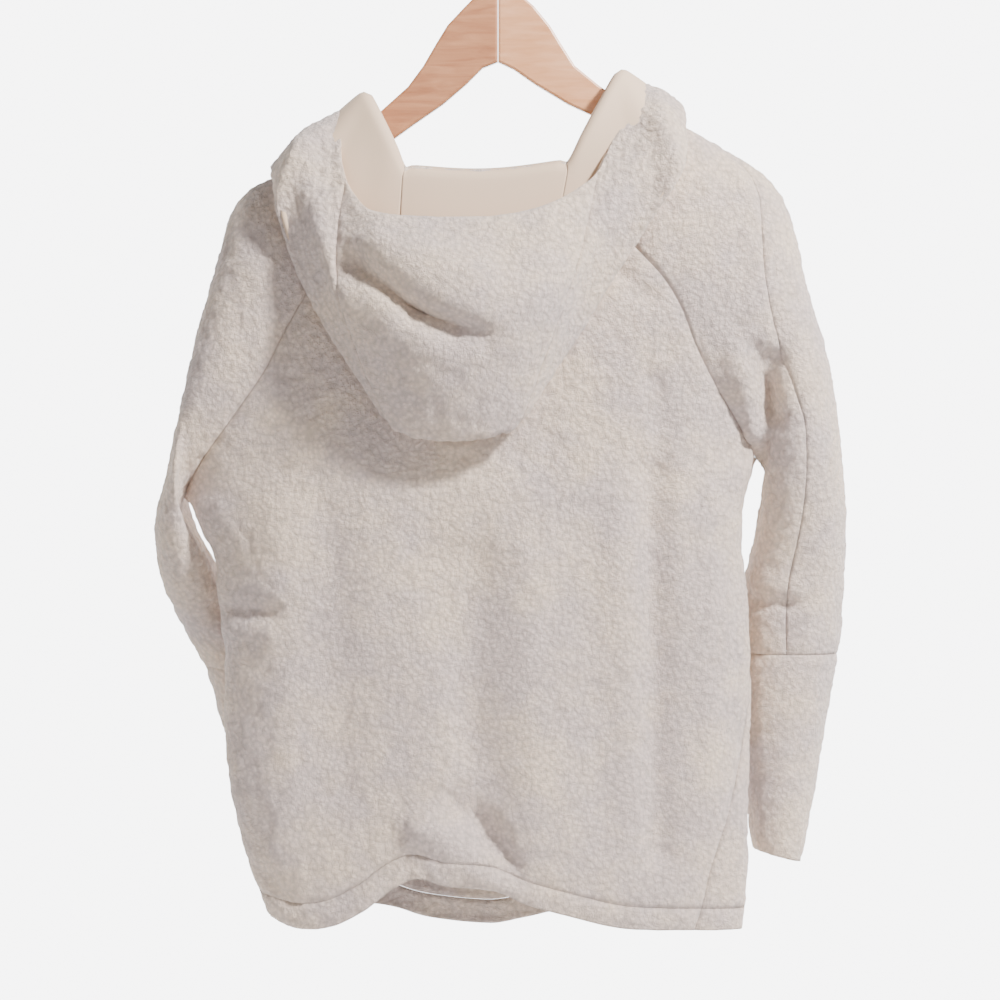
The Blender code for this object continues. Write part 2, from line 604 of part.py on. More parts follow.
def hook_points():
    """Give the hook's centreline: a straight stem, a bend and most of a circle."""
    centre_z = HOOK_WIRE / 2 - HOOK_RADIUS
    angles = np.radians(np.linspace(-50, 205, 26))
    circle = np.stack([HOOK_RADIUS * np.cos(angles), centre_z + HOOK_RADIUS * np.sin(angles)], 1)
    start = np.array([0.0, -58.0])
    tangent = np.array([-math.sin(angles[0]), math.cos(angles[0])])
    handles = np.array([start, start + (0, 9.0), circle[0] - tangent * 9.0, circle[0]])
    t = np.linspace(0, 1, 7)[:-1, None]
    bend = ((1 - t)**3 * handles[0] + 3 * (1 - t)**2 * t * handles[1]
            + 3 * (1 - t) * t**2 * handles[2] + t**3 * handles[3])
    return np.concatenate([[[0.0, -72.6]], bend, circle])


def build_hook():
    """Make the hook as a bevelled wire standing on the arms' joint."""
    points = hook_points()
    curve = bpy.data.curves.new("hanger_hook", "CURVE")
    curve.dimensions = "3D"
    curve.bevel_depth = HOOK_WIRE / 2 * MM
    curve.bevel_resolution = 2
    curve.use_fill_caps = True
    spline = curve.splines.new("POLY")
    spline.points.add(len(points) - 1)
    for point, (x, z) in zip(spline.points, points):
        point.co = (x * MM, 0.0, z * MM, 1.0)
    item = bpy.data.objects.new("hanger_hook", curve)
    bpy.data.collections[COLLECTION].objects.link(item)
    curve.materials.append(make_material("hanger_hook", (0.75, 0.75, 0.76), 0.25, 1.0))


def main():
    """Build the pullover and its hanger."""
    for item in list(bpy.data.objects):
        bpy.data.objects.remove(item, do_unlink=True)
    collection = bpy.data.collections.new(COLLECTION)
    bpy.context.scene.collection.children.link(collection)
    tables = {"left": rows_to_columns(SLEEVE_LEFT, SLEEVE_COLUMNS_NAMES),
              "right": rows_to_columns(SLEEVE_RIGHT, SLEEVE_COLUMNS_NAMES),
              "torso": rows_to_columns(TORSO, TORSO_COLUMNS_NAMES),
              "hood": rows_to_columns(HOOD, HOOD_NAMES)}
    torso = torso_panels(tables)
    sleeves = sleeve_panels(tables["left"], "left") + sleeve_panels(tables["right"], "right")
    hood = hood_panels(tables, torso, sleeves)
    fleece = torso + sleeves + hood
    share_normals(fleece)
    for panel in fleece:
        press_folds(panel, HOOD_FOLDS if panel in hood else BACK_FOLDS)
    share_normals(fleece)
    for panel in fleece:
        build_sheet(panel, 0.0, FLEECE_WALL, (0.66, 0.59, 0.55))
    offset = -(FLEECE_WALL / 2 + LINING_GAP + LINING_WALL / 2)
    crown = hood[0]
    crown.name = "lining_center"
    build_sheet(crown, offset, LINING_WALL, (0.66, 0.54, 0.44), 0.8)
    build_hanger()


main()
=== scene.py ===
"""Looks of a hooded sherpa pullover with raglan sleeves, on its wooden hanger.

Frame: +Z up, origin at the inside of the hanger hook's crown, the garment's back towards -Y and
its left sleeve at -X. Sizes are in millimetres until a mesh is made. Each piece of cloth is a grid
of points with rows down it and columns round it; the torso, the sleeves and the hood are read from
short tables of sections, and neighbouring pieces share the points of their seams.
"""
import logging
import math
from dataclasses import dataclass
from enum import Enum
from typing import Any, Iterable, Sequence

import bpy
import numpy as np
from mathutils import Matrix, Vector


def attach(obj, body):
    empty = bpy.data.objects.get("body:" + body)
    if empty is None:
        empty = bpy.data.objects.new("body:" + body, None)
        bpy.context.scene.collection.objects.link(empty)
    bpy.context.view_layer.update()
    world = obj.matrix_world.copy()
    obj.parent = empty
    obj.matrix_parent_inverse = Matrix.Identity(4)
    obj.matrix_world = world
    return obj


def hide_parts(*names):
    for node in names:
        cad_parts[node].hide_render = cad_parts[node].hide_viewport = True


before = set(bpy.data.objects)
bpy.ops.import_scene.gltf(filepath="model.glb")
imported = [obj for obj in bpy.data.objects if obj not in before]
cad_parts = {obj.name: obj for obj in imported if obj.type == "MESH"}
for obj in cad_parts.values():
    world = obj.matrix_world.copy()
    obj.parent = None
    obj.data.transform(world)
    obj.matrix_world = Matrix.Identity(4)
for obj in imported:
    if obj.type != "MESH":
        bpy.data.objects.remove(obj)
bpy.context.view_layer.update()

Array = np.ndarray
MM = 0.001

# Cloth
FLEECE_WALL = 3.0
LINING_WALL = 1.0
LINING_GAP = 1.4          # between the fleece's inner face and the lining
SEAM_PULL = 0.2           # each edge is pulled back this far from its seam
SPACING = 3.3             # between the fleece's grid points
LINING_SPACING = 6.0
FINE_SAMPLES = 300        # on a curve whose length is measured

# Sleeve sections. along runs 0 at the neck, 1 at the armpit, 2 at the elbow seam, 3 at the cuff.
# outer is the overarm ridge, inner the raglan seam and below the armpit the underarm seam,
# turn the angle from outer to inner round the back, overarm the seam's own angle.
SLEEVE_NAMES = ("along", "outer_x", "outer_y", "outer_z", "inner_x", "inner_y", "inner_z",
                "back", "front", "turn", "overarm")
SLEEVE_LEFT = (
    (0.00, -118, 0, -191, -86, -37, -264, 37, 37, 90, 0),
    (0.15, -160, 0, -224, -118, -42, -296, 42, 42, 92, 0),
    (0.30, -198, 0, -248, -148, -45, -330, 46, 46, 95, 0),
    (0.42, -226, 0, -263, -172, -46, -360, 48, 48, 98, 0),
    (0.55, -243, 0, -285, -192, -46, -394, 50, 50, 104, 0),
    (0.68, -252, 0, -318, -211, -43, -430, 50, 50, 112, 0),
    (0.80, -262, 0, -355, -238, -35, -468, 50, 50, 125, 0),
    (0.91, -273, 0, -395, -268, -18, -508, 48, 48, 140, 0),
    (1.00, -281, 0, -432, -286, 4, -538, 46, 46, 158, 0),
    (1.15, -291, 4, -475, -292, 16, -556, 46, 46, 180, 0),
    (1.35, -303, 12, -527, -280, 32, -578, 46, 50, 180, 0),
    (1.50, -314, 22, -572, -264, 44, -602, 44, 50, 180, 0),
    (1.65, -309, 38, -618, -247, 55, -634, 41, 47, 180, 0),
    (1.80, -294, 54, -655, -228, 65, -664, 38, 44, 180, 0),
    (2.00, -272, 70, -700, -204, 74, -704, 36, 40, 180, 0),
    (2.30, -252, 79, -765, -184, 82, -764, 34, 36, 180, 0),
    (2.60, -232, 85, -822, -166, 87, -822, 32, 33, 180, 0),
    (3.00, -212, 88, -884, -154, 89, -884, 28, 29, 180, 0),
)
SLEEVE_RIGHT = (
    (0.00, 110, 0, -169, 64, -37, -259, 37, 37, 90, 0),
    (0.15, 146, 0, -194, 95, -42, -289, 42, 42, 92, 0),
    (0.30, 182, 0, -212, 124, -45, -318, 46, 46, 95, 0),
    (0.42, 212, 0, -230, 148, -46, -344, 48, 48, 98, 10),
    (0.55, 240, 0, -249, 165, -46, -372, 50, 50, 104, 28),
    (0.68, 259, 0, -272, 178, -42, -405, 50, 50, 112, 50),
    (0.80, 270, 2, -305, 196, -32, -440, 50, 50, 125, 66),
    (0.91, 281, 4, -350, 217, -16, -474, 48, 48, 140, 76),
    (1.00, 295, 6, -398, 234, 2, -504, 46, 46, 158, 82),
    (1.15, 306, 12, -450, 245, 14, -520, 46, 48, 180, 86),
    (1.35, 315, 22, -515, 242, 26, -552, 45, 50, 180, 90),
    (1.50, 319, 30, -565, 236, 36, -586, 44, 50, 180, 96),
    (1.65, 318, 37, -612, 228, 42, -622, 43, 48, 180, 100),
    (1.80, 316, 40, -650, 225, 44, -654, 42, 46, 180, 100),
    (2.00, 313, 42, -686, 225, 44, -686, 41, 43, 180, 98),
    (2.30, 300, 42, -752, 228, 44, -750, 38, 40, 180, 96),
    (2.60, 290, 42, -815, 231, 44, -808, 34, 36, 180, 94),
    (3.00, 279, 42, -878, 236, 44, -866, 28, 30, 180, 92),
)

# Torso sections. along runs 0 at the neck, 1 at the armpits, 2 at the hem seam, 3 at the hem.
# left and right are the side seams below the armpits (above, the sleeves' raglan seams hold);
# left_turn and right_turn say how far round the section's end the seam lies, towards the front.
TORSO_NAMES = ("along", "left_x", "left_y", "left_z", "right_x", "right_y", "right_z",
               "back", "front", "left_turn", "right_turn", "square")
TORSO = (
    (0.00, -86, 0, -264, 64, 0, -259, 38, 40, -60, -60, 2.2),
    (0.30, -148, 0, -330, 124, 0, -318, 47, 47, -52, -52, 2.2),
    (0.55, -192, 0, -394, 165, 0, -372, 52, 50, -42, -42, 2.3),
    (0.80, -238, 0, -468, 196, 0, -440, 54, 50, -24, -24, 2.4),
    (1.00, -286, 4, -538, 234, 2, -504, 54, 49, -12, -12, 2.5),
    (1.08, -278, 2, -551, 231, 0, -520, 54, 49, 0, 0, 2.5),
    (1.16, -268, 0, -573, 224, 0, -545, 54, 48, 0, 0, 2.5),
    (1.26, -258, 0, -594, 221, 0, -582, 54, 48, 0, 0, 2.5),
    (1.42, -254, 0, -634, 227, 0, -640, 53, 47, 0, 0, 2.5),
    (1.60, -248, 0, -692, 229, 0, -705, 52, 45, 0, -4, 2.4),
    (1.75, -248, 0, -742, 224, -6, -756, 50, 43, 0, -12, 2.4),
    (1.88, -242, 0, -812, 206, -20, -836, 48, 42, 0, -26, 2.4),
    (1.95, -231, 0, -858, 192, -24, -880, 46, 41, 0, -34, 2.4),
    (2.00, -217, 0, -900, 184, -25, -914, 45, 40, 0, -38, 2.4),
    (3.00, -207, 0, -924, 178, -24, -934, 44, 39, 0, -40, 2.3),
)

# How far the hem seam lifts over the straight line between its ends, across the back and front.
HEM_NAMES = ("across", "back", "front")
HEM_LIFT = ((0.0, 0, 0), (0.08, -8, 4), (0.15, -4, 8), (0.22, 10, 10), (0.30, 34, 6), (0.35, 42, 0),
            (0.42, 36, -4), (0.52, 34, -6), (0.60, 22, 0), (0.70, 12, 8), (0.85, 1, 6), (1.0, 0, 0))

# Hood sections round the neck, from the centre front (turn 1, wearer's right) by the nape (0) to
# the centre front again (turn -1). rim is the face opening, crown the outer layer, fold the lowest
# edge of the turned-down hood, and stand the height of the roll over the neck seam.
HOOD_NAMES = ("turn", "rim_x", "rim_y", "rim_z", "crown_x", "crown_y", "crown_z",
              "fold_x", "fold_y", "fold_z", "stand")
HOOD = (
    (-1.00, -8, 58, -290, -8, 60, -303, -8, 58, -314, 8),
    (-0.86, -66, 64, -256, -86, 70, -272, -98, 66, -296, 10),
    (-0.74, -112, 36, -214, -142, 50, -226, -164, 46, -258, 10),
    (-0.62, -136, -8, -189, -176, -12, -208, -203, -14, -247, 9),
    (-0.58, -139, -20, -198, -184, -46, -226, -198, -54, -278, 10),
    (-0.52, -140, -30, -210, -174, -60, -258, -182, -56, -330, 10),
    (-0.45, -142, -42, -224, -163, -76, -290, -160, -60, -376, 11),
    (-0.33, -136, -62, -258, -143, -92, -356, -97, -70, -474, 12),
    (-0.18, -104, -90, -291, -96, -116, -372, -70, -76, -488, 12),
    (0.00, -30, -94, -294, -28, -124, -384, -38, -78, -490, 12),
    (0.18, 44, -86, -282, 30, -114, -372, -10, -76, -487, 12),
    (0.33, 90, -64, -250, 67, -92, -346, 18, -70, -476, 12),
    (0.45, 104, -44, -218, 96, -74, -292, 72, -58, -392, 11),
    (0.52, 114, -28, -194, 132, -58, -240, 122, -58, -312, 10),
    (0.58, 120, -20, -180, 150, -50, -204, 164, -58, -246, 9),
    (0.60, 123, -14, -172, 149, -30, -186, 172, -40, -218, 8),
    (0.62, 125, -8, -167, 148, -10, -172, 168, -10, -194, 8),
    (0.74, 104, 36, -196, 132, 50, -206, 152, 46, -238, 10),
    (0.86, 62, 64, -246, 82, 70, -262, 94, 66, -286, 10),
    (1.00, 8, 58, -290, 8, 60, -303, 8, 58, -314, 8),
)


class Side(Enum):
    """The garment's two sides; the value is the way each one's angles run."""

    BACK = 1
    FRONT = -1


class Held(Enum):
    """How a piece of cloth is held."""

    HUNG = "hung"
    FOLDED = "folded"


def monotone_cubic(xs: Array, ys: Array, at: Array) -> Array:
    """Read a curve that passes through its points and never swings past them.

    Each stretch is a cubic between two points. The slope at a point is the mean of its two
    stretches' slopes, at most 2.5 times the gentler one, and nothing where they change sign.

    Args:
        xs: the points' places, rising.
        ys: the points' values.
        at: the places to read.

    Returns:
        The value at each place.
    """
    steepest = 2.5
    at = np.clip(np.asarray(at, dtype=float), xs[0], xs[-1])
    widths = np.diff(xs)
    slopes = np.diff(ys) / widths
    tangents = np.empty_like(ys)
    tangents[0], tangents[-1] = slopes[0], slopes[-1]
    product = slopes[:-1] * slopes[1:]
    mean = (slopes[:-1] * widths[1:] + slopes[1:] * widths[:-1]) / (widths[:-1] + widths[1:])
    limit = steepest * np.minimum(np.abs(slopes[:-1]), np.abs(slopes[1:]))
    tangents[1:-1] = np.where(product > 0, np.sign(mean) * np.minimum(np.abs(mean), limit), 0.0)
    index = np.clip(np.searchsorted(xs, at, side="right") - 1, 0, len(widths) - 1)
    width = widths[index]
    t = (at - xs[index]) / width
    return ((2 * t**3 - 3 * t**2 + 1) * ys[index]
            + (t**3 - 2 * t**2 + t) * width * tangents[index]
            + (3 * t**2 - 2 * t**3) * ys[index + 1]
            + (t**3 - t**2) * width * tangents[index + 1])


def catmull_rom(points: Array, at: Array) -> Array:
    """Read a smooth curve: each stretch is a cubic whose end slopes are its neighbours' chords.

    Args:
        points: the curves' points, (..., count, 3).
        at: places from 0 to count - 1.

    Returns:
        The points there, (..., places, 3).
    """
    count = points.shape[-2]
    index = np.clip(np.floor(at).astype(int), 0, count - 2)
    t = (at - index)[:, None]
    first = points[..., 0:1, :] * 2 - points[..., 1:2, :]
    last = points[..., -1:, :] * 2 - points[..., -2:-1, :]
    padded = np.concatenate([first, points, last], axis=-2)
    p0, p1, p2, p3 = (padded[..., index + shift, :] for shift in range(4))
    return 0.5 * (2 * p1 + (p2 - p0) * t + (2 * p0 - 5 * p1 + 4 * p2 - p3) * t**2
                  + (3 * p1 - p0 - 3 * p2 + p3) * t**3)


def even_places(curve: Array, places: Array, spacing: float) -> Array:
    """Find places that lie evenly spaced along a curve, from its running length.

    Args:
        curve: the curve's points, close together.
        places: each point's place.
        spacing: about how far apart the new ones lie, in millimetres.

    Returns:
        The places, with both ends among them.
    """
    lengths = np.concatenate([[0], np.cumsum(np.linalg.norm(np.diff(curve, axis=0), axis=1))])
    count = max(2, int(round(lengths[-1] / spacing)) + 1)
    return np.interp(np.linspace(0, lengths[-1], count), lengths, places)


def lattice_noise(points: Array, size: float, seed: int) -> Array:
    """Give smooth noise from -1 to 1: random lattice values blended by smoothstepped weights.

    Args:
        points: where to read it, in millimetres.
        size: the lattice's spacing in millimetres.
        seed: of the random values.

    Returns:
        The noise at each point.
    """
    period = 64
    table = np.random.default_rng(seed).uniform(-1, 1, (period, period, period))
    place = points / size
    cell = np.floor(place).astype(int)
    part = place - cell
    part = part * part * (3 - 2 * part)
    total = np.zeros(points.shape[:-1])
    for corner in np.ndindex(2, 2, 2):
        index = (cell + corner) % period
        weight = np.where(corner, part, 1 - part).prod(-1)
        total += table[index[..., 0], index[..., 1], index[..., 2]] * weight
    return total


class Sections:
    """A table of cross-sections that is read at any place along it."""

    def __init__(self, names: Sequence[str], rows: Sequence[Sequence[float]]) -> None:
        """Take the columns' names and the rows; the first column is the place."""
        columns = np.array(rows, dtype=float).T
        self.places = columns[0]
        self.columns = dict(zip(names, columns))

    def read(self, name: str, at: Array) -> Array:
        """Read one column at any places."""
        return monotone_cubic(self.places, self.columns[name], at)

    def point(self, name: str, at: Array) -> Array:
        """Read the point that three columns hold."""
        return np.stack([self.read(name + axis, at) for axis in ("_x", "_y", "_z")], -1)


@dataclass(frozen=True)
class Fold:
    """A fold pressed into cloth along a line; a positive depth sinks and a negative one rises."""

    from_x: float
    from_z: float
    to_x: float
    to_z: float
    depth: float
    width: float

    def push(self, x: Array, z: Array) -> Array:
        """Work out how far the cloth moves out: less the depth times a bell of the distance.

        Args:
            x: the points' x.
            z: the points' z.

        Returns:
            The move along the normal at each point, in millimetres.
        """
        start = np.array([self.from_x, self.from_z])
        run = np.array([self.to_x, self.to_z]) - start
        share = np.clip(((x - start[0]) * run[0] + (z - start[1]) * run[1]) / run.dot(run), 0, 1)
        distance = np.hypot(x - start[0] - share * run[0], z - start[1] - share * run[1])
        return -self.depth * np.exp(-(distance / self.width) ** 2)


BODY_FOLDS = (
    Fold(-20, -600, -16, -850, 5.0, 24),      # soft troughs down the middle of the back
    Fold(-20, -600, -16, -850, 3.0, 20),
    Fold(-55, -600, -30, -760, 3.5, 18),
    Fold(-60, -500, 40, -505, 2.5, 22),       # hollow under the hood
    Fold(28, -600, 32, -850, -3.0, 18),       # ridges and troughs that hang from the shoulders
    Fold(80, -560, 92, -820, 3.0, 20),
    Fold(138, -520, 146, -860, 6.0, 16),
    Fold(138, -520, 146, -860, 4.0, 15),
    Fold(140, -440, 150, -520, 4.0, 12),
    Fold(100, -330, 134, -360, 3.0, 9),
    Fold(196, -560, 190, -820, -3.0, 16),
    Fold(-150, -560, -140, -800, 3.5, 20),
    Fold(-196, -560, -190, -840, -4.5, 22),
    Fold(-70, -840, -8, -880, -7.0, 18),      # ridge over the lifted hem, with a trough beside it
    Fold(-70, -836, -30, -846, -4.0, 14),
    Fold(-36, -818, 10, -872, 5.0, 12),
    Fold(-12, -830, 16, -872, 4.0, 9),
    Fold(-256, -642, -200, -646, 5.0, 9),     # dimple at the left edge and the ridge below it
    Fold(-256, -642, -206, -646, 2.0, 9),
    Fold(-250, -662, -205, -664, -3.0, 9),
    Fold(-215, -880, -190, -905, 4.0, 8),     # left corner of the hem
    Fold(250, -420, 244, -470, 14.0, 12),     # right sleeve beside the armpit: valley, ridge, slit
    Fold(232, -408, 252, -474, 5.0, 8),
    Fold(243, -440, 240, -520, 7.0, 7),
    Fold(241, -495, 224, -555, 9.0, 6),
    Fold(213, -415, 233, -480, -5.0, 9),
    Fold(233, -480, 229, -513, -4.0, 8),
    Fold(232, -638, 268, -640, 4.0, 7),       # crease above the right elbow
    Fold(235, -622, 268, -624, -3.0, 8),
)
HOOD_FOLDS = (
    Fold(-130, -338, -40, -398, 12.0, 15),    # deep crease across the crown
    Fold(-126, -331, -75, -381, 8.0, 9),
    Fold(-75, -381, -13, -401, 9.0, 10),
    Fold(-100, -318, -20, -350, -6.0, 22),    # and the bulge above it
    Fold(-147, -215, -150, -262, 3.0, 5),     # small tucks beside the left rim
    Fold(-158, -225, -160, -270, 2.5, 5),
)


def put(name: str, data: bpy.types.ID) -> bpy.types.Object:
    """Make an object from a mesh, light or camera and put it into the scene."""
    item = bpy.data.objects.new(name, data)
    bpy.context.scene.collection.objects.link(item)
    return item


@dataclass(frozen=True)
class Cut:
    """A piece's flat cut: a rectangle in metres, and the share of it that the cut takes up."""

    width: float
    length: float
    share: float
    held: Held

    @property
    def area(self) -> float:
        """Give the cut's flat area in square metres."""
        return self.width * self.length * self.share


class Panel:
    """One piece of cloth: a grid of points, pile side outwards, with its point normals."""

    seam_depth = 1.3      # how far the pile sinks along a seam
    seam_width = 5.0
    nubs = ((0.8, 3.8, 3), (0.9, 9.0, 4))     # height, size and seed of the two sizes of curl
    waves = (2.2, 55.0, 5)                    # and of the broad soft waves
    wave_stretch = (1.0, 1.0, 0.45)           # they run longer down the cloth than across it
    wave_margin = 30.0                        # they fade out this near to a seam

    def __init__(self, name: str, points: Array, closed: bool = False) -> None:
        """Take the piece's name, its grid, and whether its last column joins the first."""
        self.name = name
        self.points = points
        self.closed = closed
        self.normals = np.zeros_like(points)

    def cell_normals(self) -> Array:
        """Give each cell's normal, as long as its area: half the cross product of its diagonals."""
        points = self.points
        if self.closed:
            points = np.concatenate([points, points[:, :1]], axis=1)
        a, b = points[:-1, :-1], points[:-1, 1:]
        c, d = points[1:, 1:], points[1:, :-1]
        return 0.5 * np.cross(a - c, b - d)

    def corner_sums(self) -> Array:
        """Add each cell's normal to its four corners.

        Returns:
            The sum at each point of the grid.
        """
        normals = self.cell_normals()
        sums = np.zeros_like(self.points)
        for row in (0, 1):
            for column in (0, 1):
                rows = slice(row, row + normals.shape[0])
                if self.closed:
                    sums[rows] += np.roll(normals, column, axis=1)
                else:
                    sums[rows, column:column + normals.shape[1]] += normals
        return sums

    def press(self, folds: Iterable[Fold]) -> None:
        """Press folds in where the cloth faces the back: their pushes, times how far it does.

        Args:
            folds: the folds to add up.
        """
        weight = np.clip(-self.normals[..., 1], 0, 1)
        push = sum(fold.push(self.points[..., 0], self.points[..., 2]) for fold in folds)
        self.points = self.points + self.normals * (push * weight)[..., None]

    def seam_distance(self) -> Array:
        """Measure each point's distance from the nearest edge: running lengths from both ends.

        Returns:
            The distance at each point, in millimetres.
        """
        nearest = np.full(self.points.shape[:2], np.inf)
        for axis in ((0,) if self.closed else (0, 1)):
            steps = np.linalg.norm(np.diff(self.points, axis=axis), axis=-1)
            start = np.cumsum(steps, axis=axis)
            zero = np.zeros_like(np.take(start, [0], axis=axis))
            start = np.concatenate([zero, start], axis=axis)
            end = np.take(start, [-1], axis=axis) - start
            nearest = np.minimum(nearest, np.minimum(start, end))
        return nearest

    def raise_pile(self) -> None:
        """Raise the curled pile: two sizes of nub, plus broad waves, less a bell at each seam."""
        distance = self.seam_distance()
        height = -self.seam_depth * np.exp(-(distance / self.seam_width) ** 2)
        for rise, size, seed in self.nubs:
            height += rise * lattice_noise(self.points, size, seed)
        rise, size, seed = self.waves
        fade = 1 - np.exp(-(distance / self.wave_margin) ** 2)
        height += rise * lattice_noise(self.points * self.wave_stretch, size, seed) * fade
        self.points = self.points + self.normals * height[..., None]

    def pulled_back(self, points: Array) -> Array:
        """Move each edge of a grid along its run inwards, so that seams stay just open.

        Args:
            points: the grid.

        Returns:
            The grid with its edges moved.
        """
        result = points.copy()
        for edge, inside in ((0, 1), (-1, -2)):
            run = points[inside] - points[edge]
            result[edge] += run / np.linalg.norm(run, axis=-1, keepdims=True) * SEAM_PULL
            if not self.closed:
                run = points[:, inside] - points[:, edge]
                result[:, edge] += run / np.linalg.norm(run, axis=-1, keepdims=True) * SEAM_PULL
        return result

    def shell(self, offset: float, wall: float) -> tuple[Array, Array]:
        """Close the piece: the grid moved half a wall out and in, joined round its edges.

        Args:
            offset: from the grid out to the wall's middle, in millimetres.
            wall: the cloth's thickness in millimetres.

        Returns:
            The points in millimetres and the four-sided faces.
        """
        middle = self.pulled_back(self.points + self.normals * offset)
        half = self.normals * (wall / 2)
        rows, columns = middle.shape[:2]
        count = rows * columns
        index = np.arange(count).reshape(rows, columns)
        if self.closed:
            index = np.concatenate([index, index[:, :1]], axis=1)
        a, b = index[:-1, :-1].ravel(), index[:-1, 1:].ravel()
        c, d = index[1:, 1:].ravel(), index[1:, :-1].ravel()
        faces = [np.stack([a, b, c, d], 1), np.stack([a, d, c, b], 1) + count]
        edges = [index[0], index[-1][::-1]]
        if not self.closed:
            edges += [index[::-1, 0], index[:, -1]]
        faces += [np.stack([edge[:-1], edge[:-1] + count, edge[1:] + count, edge[1:]], 1)
                  for edge in edges]
        points = np.concatenate([(middle + half).reshape(-1, 3), (middle - half).reshape(-1, 3)])
        return points, np.concatenate(faces)

    def make(self, offset: float, wall: float, finish: bpy.types.Material, slot: str) -> None:
        """Make the piece's object and report it.

        Args:
            offset: from the grid out to the wall's middle, in millimetres.
            wall: the cloth's thickness in millimetres.
            finish: its material.
            slot: not used.
        """
        points, faces = self.shell(offset, wall)
        mesh = bpy.data.meshes.new(self.name)
        mesh.from_pydata((points * MM).tolist(), [], faces.tolist())
        mesh.shade_smooth()
        mesh.materials.append(finish)
        item = put(self.name + "_cloth", mesh)
        if self.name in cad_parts:
            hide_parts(self.name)
        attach(item, "root")
        logging.info("%s: %d points, %d faces", item.name, len(points), len(faces))


def share_normals(panels: Sequence[Panel]) -> None:
    """Give panels their point normals, averaged by area with the panels that meet at a seam.

    Points of the same place, to a twentieth of a millimetre, share the sum of their cells' normals.

    Args:
        panels: the pieces that are sewn together.
    """
    same_place = 0.05
    points = np.concatenate([panel.points.reshape(-1, 3) for panel in panels])
    sums = np.concatenate([panel.corner_sums().reshape(-1, 3) for panel in panels])
    keys = np.round(points / same_place).astype(np.int64)
    _, inverse = np.unique(keys, axis=0, return_inverse=True)
    inverse = inverse.reshape(-1)
    total = np.zeros((inverse.max() + 1, 3))
    np.add.at(total, inverse, sums)
    normals = total[inverse]
    normals /= np.maximum(np.linalg.norm(normals, axis=1), 1e-9)[:, None]
    ends = np.cumsum([panel.points.shape[0] * panel.points.shape[1] for panel in panels])
    for panel, share in zip(panels, np.split(normals, ends[:-1])):
        panel.normals = share.reshape(panel.points.shape)


def fold_and_smooth(panels: Sequence[Panel], folds: Iterable[Fold]) -> None:
    """Press folds into sewn pieces and work their normals out again."""
    share_normals(panels)
    for panel in panels:
        panel.press(folds)
    share_normals(panels)


@dataclass
class Sleeve:
    """A raglan sleeve: two halves above the elbow seam and a one-piece forearm below it."""

    name: str
    sections: Sections
    mirrored: bool                # its grids run the other way round
    back_columns: int
    front_columns: int
    ring_columns: int = 34
    ring_samples: int = 200
    armpit_blend: float = 0.8     # from here to the armpit the front seam comes to the back one

    def surface(self, along: Array, angle: Array) -> Array:
        """Give points at places along the sleeve and angles round it in degrees.

        Angles run from the overarm ridge (0) round the back to the inner seam (turn) and, as
        negative angles, round the front. A point moves from ridge to seam by the versine of its
        angle, and out of that plane by its sine.

        Args:
            along: places along the sleeve.
            angle: angles round it.

        Returns:
            The points, one for each place and angle.
        """
        along, angle = np.broadcast_arrays(np.asarray(along, float), np.asarray(angle, float))
        outer = self.sections.point("outer", along)
        inner = self.sections.point("inner", along)
        turn = np.radians(self.sections.read("turn", along))
        size = np.radians(np.abs(angle))
        share = (1 - np.cos(size)) / (1 - np.cos(turn))
        depth = np.where(angle < 0, -self.sections.read("front", along),
                         self.sections.read("back", along))
        armpit_y = self.sections.point("inner", 1.0)[1]
        blend = np.clip((along - self.armpit_blend) / (1 - self.armpit_blend), 0, 1)
        seam_y = np.where((angle < 0) & (along < 1), 2 * armpit_y * blend - inner[..., 1],
                          inner[..., 1])
        points = outer + (inner - outer) * share[..., None]
        points[..., 1] = (outer[..., 1] - depth * np.sin(size)
                          + (seam_y - outer[..., 1] + depth * np.sin(turn)) * share)
        return points

    def inner_seam(self, along: Array, side: Side) -> Array:
        """Give the seam where the sleeve meets the torso, on the back or the front."""
        return self.surface(along, side.value * self.sections.read("turn", along))

    def half_angles(self, side: Side, rows: Array, count: int) -> Array:
        """Spread columns over a half, between its overarm seam and its inner seam.

        Args:
            side: the half.
            rows: the rows' places along the sleeve.
            count: how many columns.

        Returns:
            The angles, (rows, columns).
        """
        turn = self.sections.read("turn", rows)
        overarm = self.sections.read("overarm", rows)
        start, end = (overarm, turn) if side is Side.BACK else (-turn, overarm)
        return start[:, None] + (end - start)[:, None] * np.linspace(0, 1, count)

    def panel(self, name: str, rows: Array, angles: Array, closed: bool = False) -> Panel:
        """Lay out a piece with its columns running so that its pile side faces outwards."""
        grid = self.surface(rows[:, None], angles)
        return Panel(name, grid[:, ::-1] if self.mirrored else grid, closed)

    def halves(self, rows: Array, back_columns: int, front_columns: int) -> list[Panel]:
        """Lay out the two halves over the same rows."""
        return [self.panel(f"sleeve_{self.name}_{side.name.lower()}", rows,
                           self.half_angles(side, rows, count))
                for side, count in ((Side.BACK, back_columns), (Side.FRONT, front_columns))]

    def panels(self, raglan: Array) -> list[Panel]:
        """Lay out both halves and the forearm.

        Args:
            raglan: the rows that the torso shares, from the neck to the armpit.

        Returns:
            The three pieces.
        """
        places = np.linspace(1.0, 2.0, FINE_SAMPLES)
        lower = even_places(self.sections.point("outer", places), places, SPACING)
        places = np.linspace(2.0, 3.0, self.ring_samples)
        down = even_places(self.sections.point("outer", places), places, SPACING)
        seam = self.sections.read("overarm", down)[:, None]
        share = np.linspace(0, 1, self.ring_columns)[:-1]
        rings = np.concatenate([seam + (180 - seam) * share, -180 + (seam + 180) * share], axis=1)
        return (self.halves(np.concatenate([raglan, lower[1:]]), self.back_columns,
                            self.front_columns)
                + [self.panel("forearm_" + self.name, down, rings, closed=True)])


